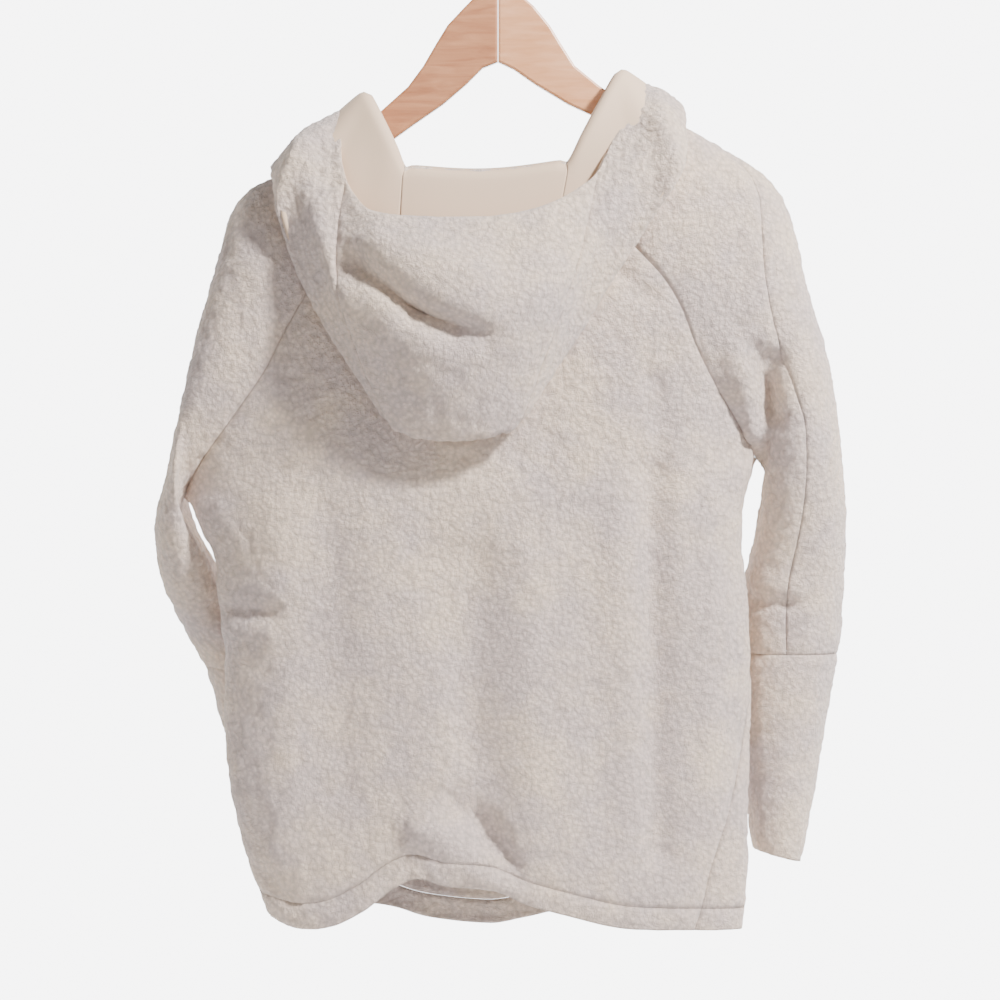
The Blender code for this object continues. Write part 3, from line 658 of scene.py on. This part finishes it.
@dataclass
class Torso:
    """The back and front with their hem bands, between the two sleeves."""

    left: Sleeve
    right: Sleeve
    sections: Sections
    hem: Sections
    hem_lift_starts: float = 1.62
    back_neck_drop: float = 6.0
    front_neck_drop: float = 70.0
    neck_drop_ends: float = 0.85
    neck_drop_power: float = 1.3
    hem_lift_power: float = 1.5
    hem_rows: int = 9
    width_row: float = 1.4        # the row whose width sets the columns
    width_samples: int = 400

    def ends(self, along: Array, side: Side) -> list[Array]:
        """Give the left and right ends of rows: raglan seams, and side seams below the armpits.

        Args:
            along: places down the torso.
            side: back or front.

        Returns:
            The left ends and the right ends.
        """
        below = (along > 1.0)[..., None]
        return [np.where(below, self.sections.point(sleeve.name, along),
                         sleeve.inner_seam(np.minimum(along, 1.0), side))
                for sleeve in (self.left, self.right)]

    def surface(self, along: Array, across: Array, side: Side) -> Array:
        """Give points, across running 0 at the right seam to 1 at the left seam.

        A row is a stretch of a superellipse, from the right seam's angle round to the left
        seam's, fitted between the two seam points and as deep as its section says. The hem seam
        lifts below hem_lift_starts, and the neck edge drops in the middle.

        Args:
            along: places down the torso.
            across: places across it.
            side: back or front.

        Returns:
            The points, one for each place.
        """
        along, across = np.broadcast_arrays(np.asarray(along, float), np.asarray(across, float))
        left, right = self.ends(along, side)
        power = 2 / self.sections.read("square", along)
        start = -side.value * self.sections.read("right_turn", along)
        end = 180 + side.value * self.sections.read("left_turn", along)
        raglan = along <= 1.0
        start = np.radians(np.where(raglan, np.abs(start), start))
        end = np.radians(np.where(raglan, 180 - np.abs(end - 180), end))
        angle = start + (end - start) * across

        def reach_and_rise(at: Array) -> tuple[Array, Array]:
            """Give the superellipse's two coordinates: powers of the cosine and the sine."""
            return (np.sign(np.cos(at)) * np.abs(np.cos(at)) ** power,
                    np.sign(np.sin(at)) * np.abs(np.sin(at)) ** power)

        (reach, rise), (reach_start, rise_start), (reach_end, rise_end) = (
            reach_and_rise(at) for at in (angle, start, end))
        share = (reach - reach_start) / (reach_end - reach_start)
        points = right + (left - right) * share[..., None]
        rise_base = rise_start + (rise_end - rise_start) * share
        lift = (rise - rise_base) / (1 - rise_base)
        depth = self.sections.read(side.name.lower(), along)
        points[..., 1] -= side.value * (depth + side.value * points[..., 1]) * lift
        inside = np.clip(share, 0, 1)
        fade = np.clip((along - self.hem_lift_starts) / (2 - self.hem_lift_starts), 0, 1)
        points[..., 2] += fade ** self.hem_lift_power * self.hem.read(side.name.lower(), 1 - inside)
        drop = self.back_neck_drop if side is Side.BACK else self.front_neck_drop
        neck = np.clip(1 - along / self.neck_drop_ends, 0, 1) ** 2
        points[..., 2] -= drop * neck * np.sin(np.pi * inside) ** self.neck_drop_power
        return points

    def panel(self, name: str, rows: Array, across: Array, side: Side) -> Panel:
        """Lay out a piece with its columns running so that its pile side faces outwards."""
        grid = self.surface(rows[:, None], across[None, :], side)
        return Panel(name, grid if side is Side.BACK else grid[:, ::-1])

    @staticmethod
    def soften(grid: Array, rows: Array) -> Array:
        """Smooth the cloth down its rows near the armpits, away from the side seams.

        Each point moves to a bell-weighted mean of the rows near it, wholly near the armpits'
        level and not at all at the sides.

        Args:
            grid: the points.
            rows: the rows' places.

        Returns:
            The smoothed points.
        """
        reach, level, fade, plateau, margin = 16, 1.02, 0.25, 1.6, 14
        kernel = np.hanning(2 * reach + 1)
        kernel /= kernel.sum()
        padded = np.concatenate([grid[:1].repeat(reach, 0), grid, grid[-1:].repeat(reach, 0)])
        blurred = sum(weight * padded[k:k + len(grid)] for k, weight in enumerate(kernel))
        columns = np.arange(grid.shape[1])
        inside = np.clip(np.minimum(columns, columns[::-1]) / margin, 0, 1)
        near = np.clip(plateau - np.abs(rows - level) / fade, 0, 1)
        weight = (near[:, None] * (inside * inside * (3 - 2 * inside)))[..., None]
        return grid * (1 - weight) + blurred * weight

    def panels(self, raglan: Array) -> list[Panel]:
        """Lay out the back, the front and their hem bands.

        Args:
            raglan: the rows that the sleeves share, from the neck to the armpits.

        Returns:
            The four pieces.
        """
        places = np.linspace(1.0, 2.0, FINE_SAMPLES)
        lower = even_places(self.surface(places, 0.5, Side.BACK), places, SPACING)
        rows = np.concatenate([raglan, lower[1:]])
        hem = np.linspace(2.0, 3.0, self.hem_rows)
        share = np.linspace(0, 1, self.width_samples)
        panels = []
        for side in Side:
            name = side.name.lower()
            across = even_places(self.surface(self.width_row, share, side), share, SPACING)
            body = self.panel(name + "_panel", rows, across, side)
            body.points = self.soften(body.points, rows)
            panels += [body, self.panel("hem_" + name, hem, across, side)]
        return panels


@dataclass
class Hood:
    """The turned-down hood: a crown panel between two sides, standing on the neck edge."""

    torso: Torso
    sections: Sections
    rows: tuple[float, ...] = (0.0, 0.5, 1.0, 1.5, 2.0, 3.0, 4.0, 4.5, 5.0, 5.6, 6.0, 6.45, 7.0)
    crown_seam: float = 0.33      # turns of the crown panel's seams, of the overarm seams
    overarm_turn: float = 0.62    # and of the front raglan seams
    raglan_turn: float = 0.80
    nape_columns: int = 13
    sleeve_columns: int = 6
    fold_radius: float = 4.5
    under_gap: float = 9.0        # from the body's middle surface to the hood's
    roll_reach: float = 0.8       # how far the roll leans out, as a share of its height
    collar_roll: float = 0.4      # where the collar's two middle points lie, from neck to fold
    collar_under: float = 0.7
    shoulder_power: float = 0.7   # below 1, the columns lie closer round the shoulder
    edge_rows: tuple[float, float] = (0.0, 0.15)
    below_rows: int = 36          # samples of the cloth that the hood rests on
    below_columns: int = 25
    lay_passes: int = 3
    curve_samples: int = 200

    def section_curves(self, neck: Array, outward: Array, turn: Array) -> Array:
        """Give the hood's points for each turn: a smooth curve through eight points.

        It runs from the rim over the crown to the fold, back under it, over the roll above the
        neck seam, and down to that seam. Round the fold its points lie a fold radius away.

        Args:
            neck: the neck seam's points.
            outward: the cloth's normals there.
            turn: the turns round the neck.

        Returns:
            The points, (turns, rows, 3).
        """
        rim, crown, fold = (self.sections.point(name, turn) for name in ("rim", "crown", "fold"))
        stand = self.sections.read("stand", turn)[:, None]
        collar = np.clip((np.abs(turn) - self.raglan_turn) / (1 - self.raglan_turn), 0, 1)[:, None]
        roll = neck + outward * (self.roll_reach * stand) + np.array([0.0, 0.0, 1.0]) * stand
        under = 0.5 * (fold + roll)
        roll = roll * (1 - collar) + (neck + (fold - neck) * self.collar_roll) * collar
        under = under * (1 - collar) + (neck + (fold - neck) * self.collar_under) * collar
        across = crown - under
        across *= self.fold_radius / np.linalg.norm(across, axis=1, keepdims=True)
        inwards = 0.5 * (crown + under) - fold
        inwards *= self.fold_radius / np.linalg.norm(inwards, axis=1, keepdims=True)
        knots = np.stack([rim, crown, fold + across + inwards, fold, fold - across + inwards,
                          under, roll, neck], axis=1)
        return catmull_rom(knots, np.array(self.rows))

    def cloth_below(self) -> list[Panel]:
        """Lay out the torso and the sleeves down to the armpits, to rest the hood on.

        Returns:
            Four pieces with their normals.
        """
        rows = np.linspace(0, 1, self.below_rows)
        share = np.linspace(0, 1, self.below_columns)
        panels = [self.torso.panel("", rows, share, side) for side in Side]
        for sleeve in (self.torso.left, self.torso.right):
            turn = sleeve.sections.read("turn", rows)[:, None]
            panels.append(sleeve.panel("", rows, turn * (2 * share - 1)))
        share_normals(panels)
        return panels

    def lay_over(self, points: Array) -> Array:
        """Push points out along the nearest cloth's normal until they lie clear of it.

        The gap grows from nothing at the neck seam to under_gap where the hood rolls over.

        Args:
            points: the hood's points, rows down and turns across.

        Returns:
            The points, moved lay_passes times over.
        """
        panels = self.cloth_below()
        below = np.concatenate([panel.points.reshape(-1, 3) for panel in panels])
        normals = np.concatenate([panel.normals.reshape(-1, 3) for panel in panels])
        gap = self.under_gap * np.clip(self.rows[-1] - np.array(self.rows), 0, 1)[:, None]
        for _ in range(self.lay_passes):
            nearest = np.linalg.norm(points[:, :, None] - below, axis=-1).argmin(axis=-1)
            normal = normals[nearest]
            height = ((points - below[nearest]) * normal).sum(-1)
            points = points + normal * np.maximum(gap - height, 0)[..., None]
        return points

    def neck_edge(self) -> tuple[Array, Array]:
        """Follow the neck edge from the centre front by the right side and the nape and back.

        The turns spread over each sleeve's edges and half the front; over the sleeve's back they
        go by a power, so that they lie closer round the shoulder.

        Returns:
            The turns, and the points and normals there, six numbers each.
        """
        rows = np.array(self.edge_rows)
        across = np.linspace(0, 1, self.nape_columns)
        panels = [self.torso.panel(side.name, rows, across, side) for side in Side]
        for sleeve in (self.torso.left, self.torso.right):
            panels += sleeve.halves(rows, self.sleeve_columns, self.sleeve_columns)
        share_normals(panels)
        back, front, left_back, left_front, right_back, right_front = (
            np.concatenate([panel.points[0], panel.normals[0]], axis=1) for panel in panels)
        half = self.nape_columns // 2
        right = np.concatenate([right_back[::-1], right_front[::-1][1:], front[::-1][1:half + 1]])
        left = np.concatenate([left_back, left_front[1:], front[1:half + 1]])
        share = np.linspace(0, 1, self.sleeve_columns)
        side_turn = np.concatenate([
            self.crown_seam + (self.overarm_turn - self.crown_seam) * share ** self.shoulder_power,
            np.linspace(self.overarm_turn, self.raglan_turn, self.sleeve_columns)[1:],
            np.linspace(self.raglan_turn, 1.0, half + 1)[1:]])
        nape_turn = np.linspace(self.crown_seam, -self.crown_seam, self.nape_columns)
        return (np.concatenate([side_turn[::-1], nape_turn[1:], -side_turn[1:]]),
                np.concatenate([right[::-1], back[1:], left[1:]]))

    def panels(self, prefix: str, spacing: float) -> list[Panel]:
        """Lay out the right side, the crown panel and the left side.

        A coarse grid is laid over the cloth below and read closely along smooth curves both ways,
        then cut at the crown panel's seams.

        Args:
            prefix: what the pieces' names begin with.
            spacing: between grid points, in millimetres.

        Returns:
            The three pieces.
        """
        turn, edge = self.neck_edge()
        curves = self.section_curves(edge[:, :3], edge[:, 3:], turn)
        grid = self.lay_over(curves.transpose(1, 0, 2))
        columns = grid.shape[1]
        places = np.arange(len(self.rows), dtype=float)
        down = even_places(grid[:, columns // 2], places, spacing)
        grid = catmull_rom(grid.transpose(1, 0, 2), down).transpose(1, 0, 2)
        side = (columns - self.nape_columns) // 2
        cuts = (0, side, side + self.nape_columns - 1, columns - 1)
        measured = grid[len(down) // 3]
        panels = []
        for name, start, end in zip(("right", "center", "left"), cuts, cuts[1:]):
            places = np.linspace(start, end, self.curve_samples)
            across = even_places(catmull_rom(measured, places), places, spacing)
            panels.append(Panel(f"{prefix}_{name}", catmull_rom(grid, across)))
        return panels


def srgb(text: str) -> tuple[float, float, float, float]:
    """Turn an sRGB hex colour into linear red, green, blue and alpha."""
    values = [int(text[k:k + 2], 16) / 255 for k in (1, 3, 5)]
    linear = [v / 12.92 if v <= 0.04045 else ((v + 0.055) / 1.055) ** 2.4 for v in values]
    return (*linear, 1.0)


def per_metre(size: float) -> float:
    """Turn a pattern's size in millimetres into a texture's scale."""
    return 1000.0 / size


def add_node(tree: bpy.types.NodeTree, kind: str, inputs: dict[Any, Any] | None = None,
             **settings: Any) -> bpy.types.Node:
    """Add a node with its settings, and fill or link its inputs.

    Args:
        tree: where it goes.
        kind: the node's type.
        inputs: a value or another node's output for each socket, by name or number.
        settings: the node's own properties.

    Returns:
        The node.
    """
    node = tree.nodes.new(kind)
    for key, value in settings.items():
        setattr(node, key, value)
    for key, value in (inputs or {}).items():
        if isinstance(value, bpy.types.NodeSocket):
            tree.links.new(value, node.inputs[key])
        else:
            node.inputs[key].default_value = value
    return node


def two_tones(tree: bpy.types.NodeTree, factor: bpy.types.NodeSocket, low: tuple[float, str],
              high: tuple[float, str]) -> bpy.types.NodeSocket:
    """Blend from one colour to another as a pattern rises.

    Args:
        tree: where the node goes.
        factor: the pattern.
        low: the first colour's place and hex value.
        high: the second's.

    Returns:
        The blended colour.
    """
    ramp = add_node(tree, "ShaderNodeValToRGB", {"Fac": factor})
    for element, (place, colour) in zip(ramp.color_ramp.elements, (low, high)):
        element.position = place
        element.color = srgb(colour)
    return ramp.outputs["Color"]


@dataclass(frozen=True)
class Finish:
    """What every finish starts from: its material's name and roughness."""

    name: str
    roughness: float

    def begin(self, **sockets: Any) -> tuple[bpy.types.Material, bpy.types.NodeSocket,
                                             bpy.types.Node]:
        """Start the material and set the shader's fixed numbers.

        Args:
            sockets: more shader sockets, with underscores for spaces.

        Returns:
            The material, its Object coordinates and its shader.
        """
        material = bpy.data.materials.new(self.name)
        material.use_nodes = True
        tree = material.node_tree
        shader = tree.nodes["Principled BSDF"]
        shader.inputs["Roughness"].default_value = self.roughness
        for key, value in sockets.items():
            shader.inputs[key.replace("_", " ")].default_value = value
        return material, add_node(tree, "ShaderNodeTexCoord").outputs["Object"], shader


@dataclass(frozen=True)
class SherpaFleece(Finish):
    """Knitted polyester with a brushed, curled cream pile, with painted shade in the gaps between
    its nubs.
    """

    light_patch: float = 71.4           # millimetres across a patch of painted light (warmer) or painted shade (cooler)
    curl: float = 4.255           # across a nub of pile
    swirl: float = 2.381          # across the bends that make nubs uneven
    swirl_reach: float = 2.2      # how far a bend moves a nub
    relief: float = 1.6           # how high a nub seems to stand
    fibre: float = 1.111          # coarser than the real fibre, which would not show
    # painted shade tint (cool) and painted light tint (warm), spread over random patches
    shade_tint: str = "#e0cbc2"
    warm: str = "#f3dac4"

    def material(self) -> bpy.types.Material:
        """Make matt nubs with painted shade in the gaps between them, random patches of painted
        light (warm) and painted shade (cool), and a pale sheen.

        Returns:
            The material.
        """
        material, coords, shader = self.begin(Sheen_Weight=0.35, Sheen_Roughness=0.5)
        tree = material.node_tree
        # random patches of painted light and shade: warm lit cream blended with cool shaded cream
        painted_light_patches = add_node(tree, "ShaderNodeTexNoise", {
            "Vector": coords, "Scale": per_metre(self.light_patch), "Detail": 3.0, "Roughness": 0.6})
        tint = two_tones(tree, painted_light_patches.outputs["Fac"], (0.38, self.shade_tint), (0.62, self.warm))
        bend = add_node(tree, "ShaderNodeTexNoise", {
            "Vector": coords, "Scale": per_metre(self.swirl), "Detail": 1.0})
        bend = add_node(tree, "ShaderNodeVectorMath", {
            0: bend.outputs["Color"], 1: (self.swirl_reach * MM,) * 3}, operation="MULTIPLY")
        moved = add_node(tree, "ShaderNodeVectorMath", {0: coords, 1: bend.outputs[0]},
                         operation="ADD")
        nubs = add_node(tree, "ShaderNodeTexVoronoi", {
            "Vector": moved.outputs[0], "Scale": per_metre(self.curl), "Smoothness": 0.6},
            feature="SMOOTH_F1")
        fibres = add_node(tree, "ShaderNodeTexNoise", {
            "Vector": coords, "Scale": per_metre(self.fibre), "Detail": 3.0})
        height = add_node(tree, "ShaderNodeMath", {
            0: nubs.outputs["Distance"], 1: -1.0, 2: fibres.outputs["Fac"]},
            operation="MULTIPLY_ADD")
        # painted shade: the colour darkens to 70 per cent in the gaps between nubs, where shade
        # falls
        painted_gap_shade = add_node(tree, "ShaderNodeMapRange", {
            "Value": nubs.outputs["Distance"], "From Min": 0.1, "From Max": 0.75,
            "To Min": 1.0, "To Max": 0.70})
        shaded = add_node(tree, "ShaderNodeVectorMath", {0: tint, "Scale": painted_gap_shade.outputs["Result"]},
                          operation="SCALE")
        bump = add_node(tree, "ShaderNodeBump", {
            "Strength": 1.0, "Distance": self.relief * MM, "Height": height.outputs[0]})
        tree.links.new(shaded.outputs[0], shader.inputs["Base Color"])
        tree.links.new(bump.outputs["Normal"], shader.inputs["Normal"])
        return material


@dataclass(frozen=True)
class Jersey(Finish):
    """Plain knitted jersey: smooth, matt and beige, with a knit that is barely seen."""

    stitch: float = 0.6667
    colour: str = "#dec1a5"

    def material(self) -> bpy.types.Material:
        """Make an even cloth with a very fine bump."""
        material, coords, shader = self.begin(Sheen_Weight=0.1, Base_Color=srgb(self.colour))
        tree = material.node_tree
        knit = add_node(tree, "ShaderNodeTexNoise", {
            "Vector": coords, "Scale": per_metre(self.stitch), "Detail": 1.0})
        bump = add_node(tree, "ShaderNodeBump", {
            "Strength": 0.15, "Distance": 0.0004, "Height": knit.outputs["Fac"]})
        tree.links.new(bump.outputs["Normal"], shader.inputs["Normal"])
        return material


@dataclass(frozen=True)
class VarnishedWood(Finish):
    """Sawn light wood under a satin coat: long soft grain and a clear highlight."""

    light: str
    dark: str
    grain_length: float = 45.455
    grain_width: float = 6.25

    def material(self) -> bpy.types.Material:
        """Make grain that runs along X, in two close tones."""
        material, coords, shader = self.begin(Coat_Weight=0.4, Coat_Roughness=0.2)
        tree = material.node_tree
        across = per_metre(self.grain_width)
        stretched = add_node(tree, "ShaderNodeVectorMath", {
            0: coords, 1: (per_metre(self.grain_length), across, across)}, operation="MULTIPLY")
        grain = add_node(tree, "ShaderNodeTexNoise", {
            "Vector": stretched.outputs[0], "Scale": 1.0, "Detail": 4.0, "Distortion": 0.6})
        tint = two_tones(tree, grain.outputs["Fac"], (0.3, self.dark), (0.7, self.light))
        tree.links.new(tint, shader.inputs["Base Color"])
        return material


@dataclass(frozen=True)
class PolishedSteel(Finish):
    """Drawn and polished steel wire: bright, with faint uneven gloss."""

    mark: float = 1.4286
    colour: str = "#c9c9cb"

    def material(self) -> bpy.types.Material:
        """Make bare metal whose gloss varies a little."""
        material, coords, shader = self.begin(Metallic=1.0, Base_Color=srgb(self.colour))
        tree = material.node_tree
        marks = add_node(tree, "ShaderNodeTexNoise", {
            "Vector": coords, "Scale": per_metre(self.mark), "Detail": 2.0})
        gloss = add_node(tree, "ShaderNodeMapRange", {
            "Value": marks.outputs["Fac"], "To Min": 0.14, "To Max": 0.3})
        tree.links.new(gloss.outputs["Result"], shader.inputs["Roughness"])
        return material


@dataclass(frozen=True)
class PalePaint(Finish):
    """Flat pale paint on the studio's floor: even and without gloss."""

    colour: str = "#f2f2f2"

    def material(self) -> bpy.types.Material:
        """Make an even matt colour."""
        return self.begin(Base_Color=srgb(self.colour))[0]


@dataclass
class Garment:
    """The whole pullover: fleece outside, jersey inside the hood."""

    fleece: SherpaFleece
    jersey: Jersey

    def make_fleece(self, torso: Torso, hood: Hood) -> None:
        """Make the torso, the sleeves and the hood in fleece.

        Args:
            torso: the back, the front and the sleeves beside them.
            hood: the hood on top.
        """
        places = np.linspace(0, 1, FINE_SAMPLES)
        raglan = even_places(torso.left.inner_seam(places, Side.BACK), places, SPACING)
        body = torso.panels(raglan) + torso.left.panels(raglan) + torso.right.panels(raglan)
        crown = hood.panels("hood", SPACING)
        fold_and_smooth(body, BODY_FOLDS)
        fold_and_smooth(crown, HOOD_FOLDS)
        finish = self.fleece.material()
        for panel in body + crown:
            panel.raise_pile()
            panel.make(0.0, FLEECE_WALL, finish, "fleece")

    def make_lining(self, hood: Hood) -> None:
        """Make the hood's lining, which follows the same folds behind the fleece."""
        lining = hood.panels("lining", LINING_SPACING)
        fold_and_smooth(lining, HOOD_FOLDS)
        finish = self.jersey.material()
        for panel in lining:
            panel.make(-(FLEECE_WALL / 2 + LINING_GAP + LINING_WALL / 2), LINING_WALL, finish,
                       "lining")


@dataclass
class Hanger:
    """The two wooden arms and the wire hook, which keep their CAD shapes."""

    finishes: dict[str, VarnishedWood | PolishedSteel]

    def dress(self) -> None:
        """Give each node its finish."""
        for name, finish in self.finishes.items():
            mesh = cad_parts[name].data
            mesh.materials.clear()
            mesh.materials.append(finish.material())
            logging.info("%s: dressed in %s", name, finish.name)


@dataclass(frozen=True)
class Lamp:
    """A square soft light that points at the garment."""

    name: str
    place: tuple[float, float, float]
    size: float
    power: float

    def place_it(self, aim: Vector) -> None:
        """Put the light in the studio, turned to the point it lights."""
        light = bpy.data.lights.new(self.name, "AREA")
        light.size = self.size
        light.energy = self.power
        item = put(self.name, light)
        item.location = self.place
        item.rotation_euler = (aim - Vector(self.place)).to_track_quat("-Z", "Y").to_euler()


@dataclass
class Studio:
    """The floor, the soft lights, the bright walls and the camera, in metres."""

    floor_half: float = 1.2
    floor_height: float = -1.25
    aim: tuple[float, float, float] = (0.0, 0.0, -0.5)
    lamps: tuple[Lamp, ...] = (Lamp("key", (1.6, -1.3, 1.3), 0.3, 200.0),
                               Lamp("fill", (-1.8, -2.0, 0.2), 1.6, 9.0))
    wall_light: float = 7.0       # the bright wall behind the garment
    front_light: float = 1.1      # the wall on the other side
    sky_light: float = 0.06       # the ceiling and ground, as a share of the walls
    camera_place: tuple[float, float, float] = (0.0018, -3.04, -0.5445)
    lens: float = 120.0
    sensor: float = 36.0

    def lay_floor(self) -> None:
        """Lay a pale square floor below the hem."""
        half, height = self.floor_half, self.floor_height
        mesh = bpy.data.meshes.new("floor")
        mesh.from_pydata([(-half, -half, height), (half, -half, height), (half, half, height),
                          (-half, half, height)], [], [(0, 1, 2, 3)])
        mesh.materials.append(PalePaint("pale_floor", 0.9).material())
        put("floor", mesh)

    def light_walls(self) -> None:
        """Light the world by direction: bright level walls, brightest behind the garment.

        Strength is a smoothed step from the front wall's to the back wall's along Y, times one
        from full at the horizon to sky_light above and below it.
        """
        world = bpy.data.worlds.new("studio")
        world.use_nodes = True
        tree = world.node_tree
        direction = add_node(tree, "ShaderNodeTexCoord").outputs["Generated"]
        axes = add_node(tree, "ShaderNodeSeparateXYZ", {0: direction})
        height = add_node(tree, "ShaderNodeMath", {0: axes.outputs["Z"]}, operation="ABSOLUTE")
        level = add_node(tree, "ShaderNodeMapRange", {
            "Value": height.outputs[0], "From Min": 0.16, "From Max": 0.34, "To Min": 1.0,
            "To Max": self.sky_light}, interpolation_type="SMOOTHSTEP")
        walls = add_node(tree, "ShaderNodeMapRange", {
            "Value": axes.outputs["Y"], "From Min": -0.2, "From Max": 0.7,
            "To Min": self.front_light, "To Max": self.wall_light},
            interpolation_type="SMOOTHSTEP")
        strength = add_node(tree, "ShaderNodeMath", {
            0: level.outputs["Result"], 1: walls.outputs["Result"]}, operation="MULTIPLY")
        background = tree.nodes["Background"]
        background.inputs["Color"].default_value = srgb("#fdfdfe")
        tree.links.new(strength.outputs[0], background.inputs["Strength"])
        bpy.context.scene.world = world

    def set_camera(self) -> None:
        """Stand the camera level behind the garment's back."""
        lens = bpy.data.cameras.new("camera")
        lens.lens = self.lens
        lens.sensor_width = self.sensor
        camera = put("camera", lens)
        camera.location = self.camera_place
        camera.rotation_euler = (math.pi / 2, 0.0, 0.0)
        bpy.context.scene.camera = camera

    def build(self) -> None:
        """Set everything up."""
        self.lay_floor()
        self.light_walls()
        for lamp in self.lamps:
            lamp.place_it(Vector(self.aim))
        self.set_camera()
        logging.info("studio: floor, %d lights, walls and camera", len(self.lamps))


def main() -> None:
    """Build the garment's cloth, dress the hanger and set the studio."""
    logging.basicConfig(level=logging.INFO, format="%(message)s")
    left = Sleeve("left", Sections(SLEEVE_NAMES, SLEEVE_LEFT), True, 46, 46)
    right = Sleeve("right", Sections(SLEEVE_NAMES, SLEEVE_RIGHT), False, 30, 62)
    torso = Torso(left, right, Sections(TORSO_NAMES, TORSO), Sections(HEM_NAMES, HEM_LIFT))
    hood = Hood(torso, Sections(HOOD_NAMES, HOOD))
    garment = Garment(SherpaFleece("sherpa_fleece", 0.95), Jersey("beige_jersey", 0.8))
    garment.make_fleece(torso, hood)
    garment.make_lining(hood)
    # one varnished wood in two copies: the right arm's tones are lit, and the left arm's are
    # painted darker as shade
    Hanger({"hanger_left": VarnishedWood("varnished_wood_shaded_left", 0.38, "#cb8d64", "#aa6d49"),
            "hanger_right": VarnishedWood("varnished_wood_lit_right", 0.38, "#efb287", "#da9563"),
            "hanger_hook": PolishedSteel("polished_steel", 0.2)}).dress()
    Studio().build()


if __name__ == "__main__":
    main()
